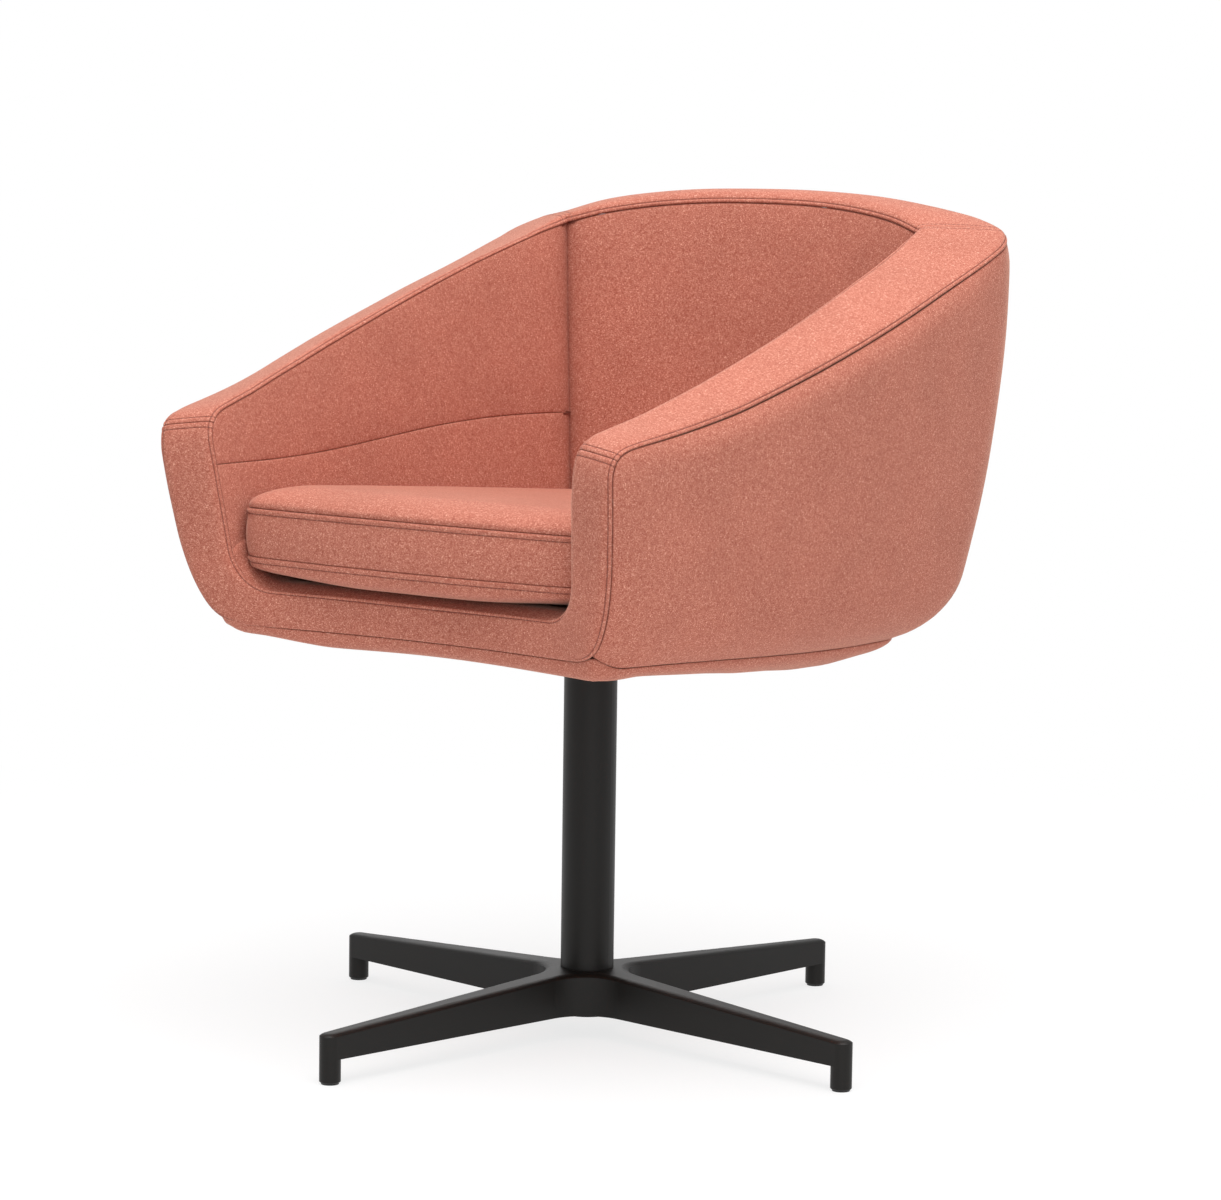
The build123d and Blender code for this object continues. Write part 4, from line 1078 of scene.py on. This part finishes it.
def swollen(grid, pinned):
    # a closed cloth under pressure, held at its seams; returns how far each point moves
    piece = gridPiece("cushionCloth", grid, np.zeros(grid.shape[:2]), True)
    columns = grid.shape[1]
    start = pointsOf(piece.data)
    hold = piece.vertex_groups.new(name="hold")
    table = grid.reshape(-1, 3)
    order = np.array([np.argmin(((table - p) ** 2).sum(axis=1)) for p in start])
    for index, place in enumerate(order):
        hold.add([index], float(pinned[place // columns]), "REPLACE")
    editAll(piece)
    bpy.ops.mesh.remove_doubles(threshold=0.00001)
    bpy.ops.mesh.normals_make_consistent(inside=False)
    bpy.ops.object.mode_set(mode="OBJECT")
    cloth = piece.modifiers.new("cloth", "CLOTH")
    for key, value in clothRun.items():
        setattr(cloth.settings, key, value)
    cloth.settings.effector_weights.gravity = 0.0
    cloth.settings.vertex_group_mass = "hold"
    cloth.point_cache.frame_start, cloth.point_cache.frame_end = 1, cushion["frames"]
    scene = bpy.context.scene
    for number in range(1, cushion["frames"] + 1):
        scene.frame_set(number)
    after = pointsOf(piece.evaluated_get(bpy.context.evaluated_depsgraph_get()).to_mesh())
    before = pointsOf(piece.data)
    scene.frame_set(1)
    moved = after - before
    far = np.linalg.norm(moved, axis=1, keepdims=True)
    moved = moved * cushion["mostPuff"] * np.tanh(far / cushion["mostPuff"]) / np.maximum(far, 1e-6)
    nearest = np.array([np.argmin(((before - p) ** 2).sum(axis=1)) for p in table])
    bpy.data.objects.remove(piece, do_unlink=True)
    moved = moved[nearest].reshape(grid.shape)
    for _ in range(cushion["smoothing"]):
        around = (moved[:, np.r_[-2, 0:columns - 1]] + moved[:, np.r_[1:columns, 1]]) / 2
        moved = moved * 0.5 + around * 0.5
        moved[1:-1] = moved[1:-1] * 0.6 + (moved[:-2] + moved[2:]) * 0.2
    return moved


def filledIn(rows, places, count):
    return np.stack([np.interp(np.arange(count), places, rows[:, k]) for k in range(3)], axis=1)


def makeCushion():
    loops, seamShadeRows, stitchRings = [], [], []
    for inset, z, dark, stitched in cushionRings():
        loop = cushionOutline(inset)
        loop[:, 2] = z
        stitchRings.append(stitched)
        loops.append(loop)
        seamShadeRows.append(np.full(len(loop), dark))
    middle = np.array(cushion["middle"])
    centre = middle * np.array([1.0, 1.0, 0.0])

    def towardsMiddle(loop, share, z):
        inner = centre + (loop - centre) * share
        inner[:, 2] = z
        return inner

    top, bottom = loops[0], loops[-1]
    tops = [towardsMiddle(top, s, top[0, 2] + 0.8 * (1 - s)) for s in (0.0, 0.15, 0.3, 0.45, 0.6, 0.75, 0.88)]
    bottoms = [towardsMiddle(bottom, s, bottom[0, 2]) for s in (0.85, 0.65, 0.45, 0.25, 0.0)]
    grid = np.array(tops + loops + bottoms)
    blank = [np.zeros(len(top))]
    dark = np.array(blank * len(tops) + seamShadeRows + blank * len(bottoms))
    stitchRings = [False] * len(tops) + stitchRings + [False] * len(bottoms)
    # coarse rings for the cloth, then its swelling is laid over all rings
    last, upper, lower = len(grid) - 1, len(tops) + 15, len(grid) - 15
    pick = [*range(0, upper, 2), *range(upper, lower, 4), *range(lower, len(grid), 2)]
    if pick[-1] != last:
        pick.append(last)
    around = np.arange(0, cushion["around"] + 1, 3)
    coarse = grid[pick][:, around]
    heights = coarse[:, 0, 2]
    pinned = np.where((abs(heights - cushion["seamHigh"]) < 8) | (heights < cushion["seamLow"] + 4), 1.0, 0.0)
    moved = swollen(coarse, pinned)
    wide = np.stack([filledIn(moved[i], around, cushion["around"] + 1) for i in range(len(pick))])
    grid = grid + np.stack([filledIn(wide[:, j], pick, len(grid)) for j in range(cushion["around"] + 1)], axis=1)
    # the seat falls towards the back
    height = np.clip((grid[:, :, 2] - cushion["seamLow"]) / (cushion["seamHigh"] - cushion["seamLow"]), 0.0, 1.0)
    fromFront = grid[:, :, 1] - cushion["frontY"]
    depth = np.clip(fromFront / cushion["rakeRun"], 0.0, 1.0)
    grid[:, :, 2] -= cushion["rake"] * depth * height
    # its underside is tucked up along the front, most at the corners
    below = np.maximum(cushion["seamLow"] - cushion["ridge"] - 2.0 - grid[:, :, 2], 0.0)
    tuck = cushion["frontTuck"] + cushion["cornerTuck"] * smoothStep(abs(grid[:, :, 0]), *cushion["tuckWide"])
    tuck = tuck * (1 - smoothStep(fromFront, cushion["tuckFrom"], cushion["tuckTo"]))
    grid[:, :, 2] += below * tuck
    outward = unitRows(grid - middle)
    grid = grid + outward * (unevenness(grid * 1.3) * cushion["ripple"])[:, :, None]
    grid[:, :, 2] = np.maximum(grid[:, :, 2], cushion["bottom"])
    grid[:, -1] = grid[:, 0]
    piece = gridPiece("seatCushion", grid, dark, True, closeAround=True)
    editAll(piece)
    bpy.ops.mesh.normals_make_consistent(inside=False)
    bpy.ops.object.mode_set(mode="OBJECT")
    piece.data.materials.append(woolFelt)
    smoothPiece(piece)
    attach(piece, "cushion")
    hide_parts("cushion_core", "cushion_top", "cushion_border", "cushion_bottom")
    for index, stitched in enumerate(stitchRings):
        if stitched:
            cushionStitches.append(grid[index] + outward[index] * 0.18)


makeCushion()
print("cushion")

# topstitching: one stitch, repeated along every groove
stitch = {"length": 3.4, "pitch": 4.2, "radius": 0.3, "sides": 6}


def layStitches(name, lines, body):
    laid = []
    for line in lines:
        curve = bpy.data.curves.new("stitchPath", "CURVE")
        curve.dimensions = "3D"
        spline = curve.splines.new("POLY")
        spline.points.add(len(line) - 1)
        spline.points.foreach_set("co", np.concatenate([line * 0.001, np.ones((len(line), 1))], axis=1).ravel())
        path = bpy.data.objects.new("stitchPath", curve)
        bpy.context.scene.collection.objects.link(path)
        deselectAll()
        bpy.ops.mesh.primitive_uv_sphere_add(segments=stitch["sides"], ring_count=5, radius=1.0)
        piece = bpy.context.active_object
        editAll(piece)
        bpy.ops.transform.rotate(value=pi / 2, orient_axis="Y", center_override=(0.0, 0.0, 0.0))
        thin = stitch["radius"] * 0.001
        bpy.ops.transform.resize(value=(stitch["length"] * 0.0005, thin, thin), center_override=(0.0, 0.0, 0.0))
        bpy.ops.transform.translate(value=(stitch["pitch"] * 0.0005, 0.0, 0.0))
        bpy.ops.object.mode_set(mode="OBJECT")
        count = max(int(runLength(line) / stitch["pitch"]), 1)
        applyModifier(piece, "ARRAY", "row", count=count, use_relative_offset=False, use_constant_offset=True,
                      constant_offset_displace=(stitch["pitch"] * 0.001, 0.0, 0.0))
        applyModifier(piece, "CURVE", "follow", object=path, deform_axis="POS_X")
        bpy.data.objects.remove(path, do_unlink=True)
        laid.append(piece)
    deselectAll()
    for piece in laid:
        piece.select_set(True)
    bpy.context.view_layer.objects.active = laid[0]
    bpy.ops.object.join()
    whole = bpy.context.active_object
    whole.name = name
    whole.data.name = name
    whole.data.materials.append(sewingThread)
    smoothPiece(whole)
    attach(whole, body)


layStitches("seatStitching", seatStitches, "seat")
layStitches("cushionStitching", cushionStitches, "cushion")
print("stitching")

# floor, light and camera
stage = {"floor": 40.0, "world": 0.56, "shadow": 0.24, "shadowReach": 1.7}
lamps = {
    "topSoftbox": {"place": (0.45, -0.4, 2.75), "target": (0.0, 0.0, 0.5), "size": (2.4, 2.4), "power": 92.0},
    "frontFill": {"place": (1.8, -1.7, 1.0), "target": (0.0, 0.0, 0.5), "size": (2.2, 1.8), "power": 12.0},
    "backFill": {"place": (-2.2, 2.2, 1.8), "target": (0.0, 0.0, 0.6), "size": (1.8, 1.8), "power": 12.0},
}


def rayKinds(sheet):
    kinds = sheet.put("ShaderNodeLightPath").socket.node.outputs
    return [Tint(sheet.tree, kinds[name]) for name in ("Is Camera Ray", "Is Glossy Ray", "Is Transmission Ray")]


def makeStage():
    deselectAll()
    bpy.ops.mesh.primitive_plane_add(size=stage["floor"], location=(0.0, 0.0, 0.0))
    floor = bpy.context.active_object
    floor.name = "studioFloor"
    material, sheet = newMaterial("paleFloor")
    camera, glossy, through = rayKinds(sheet)
    place = sheet.stretched(sheet.put("ShaderNodeTexCoord", out=3), (stage["shadowReach"],) * 3)
    spot = sheet.put("ShaderNodeTexGradient", {"gradient_type": "SPHERICAL"}, {"Vector": place}, out=1)
    seen = (camera + glossy + through).ramp(0.0, 1.0) * (1.0 - spot.ramp(0.0, 0.7) * stage["shadow"])
    dull = sheet.put("ShaderNodeBsdfDiffuse", None, {"Color": (0.88, 0.88, 0.88, 1.0)})
    glow = sheet.put("ShaderNodeEmission", None, {"Color": (1.0, 1.0, 1.0, 1.0), "Strength": 1.0})
    both = sheet.put("ShaderNodeMixShader", None, {0: seen, 1: dull, 2: glow})
    sheet.put("ShaderNodeOutputMaterial", None, {"Surface": both})
    floor.data.materials.append(material)

    world = bpy.data.worlds.new("studioWorld")
    bpy.context.scene.world = world
    world.use_nodes = True
    world.node_tree.nodes.clear()
    sheet = Tint(world.node_tree)
    camera, _, through = rayKinds(sheet)
    seen = (camera + through).ramp(0.0, 1.0)
    strength = seen * (1.0 - stage["world"]) + stage["world"]
    glow = sheet.put("ShaderNodeBackground", None, {"Color": (1.0, 1.0, 1.0, 1.0), "Strength": strength})
    sheet.put("ShaderNodeOutputWorld", None, {"Surface": glow})


def areaLight(name, place, target, size, power):
    data = bpy.data.lights.new(name, "AREA")
    data.shape = "RECTANGLE"
    data.size, data.size_y = size
    data.energy = power
    lamp = bpy.data.objects.new(name, data)
    bpy.context.scene.collection.objects.link(lamp)
    lamp.location = place
    lamp.rotation_euler = (Vector(target) - Vector(place)).to_track_quat("-Z", "Y").to_euler()


makeStage()
for lampName, settings in lamps.items():
    areaLight(lampName, **settings)

# camera at the photograph's angle, focal length and width in pixels
shot = {"focal": 4226.0, "width": 1221.0, "sensor": 36.0, "distance": 3.9444, "azimuth": 37.0, "elevation": 6.853,
        "roll": 0.762, "target": (0.0, 0.0, 0.4), "shift": (0.01537, 0.0090)}


def makeCamera():
    data = bpy.data.cameras.new("photoCamera")
    data.sensor_width = shot["sensor"]
    data.lens = shot["focal"] * shot["sensor"] / shot["width"]
    data.shift_x, data.shift_y = shot["shift"]
    camera = bpy.data.objects.new("photoCamera", data)
    bpy.context.scene.collection.objects.link(camera)
    a, e = radians(shot["azimuth"]), radians(shot["elevation"])
    offset = Vector((sin(a) * cos(e), -cos(a) * cos(e), sin(e))) * shot["distance"]
    camera.location = Vector(shot["target"]) + offset
    turn = (-offset).to_track_quat("-Z", "Y").to_matrix().to_4x4()
    camera.rotation_euler = (turn @ Matrix.Rotation(radians(shot["roll"]), 4, "Z")).to_euler()
    bpy.context.scene.camera = camera


makeCamera()
bpy.context.scene.view_settings.view_transform = "Standard"
print("stage and camera")
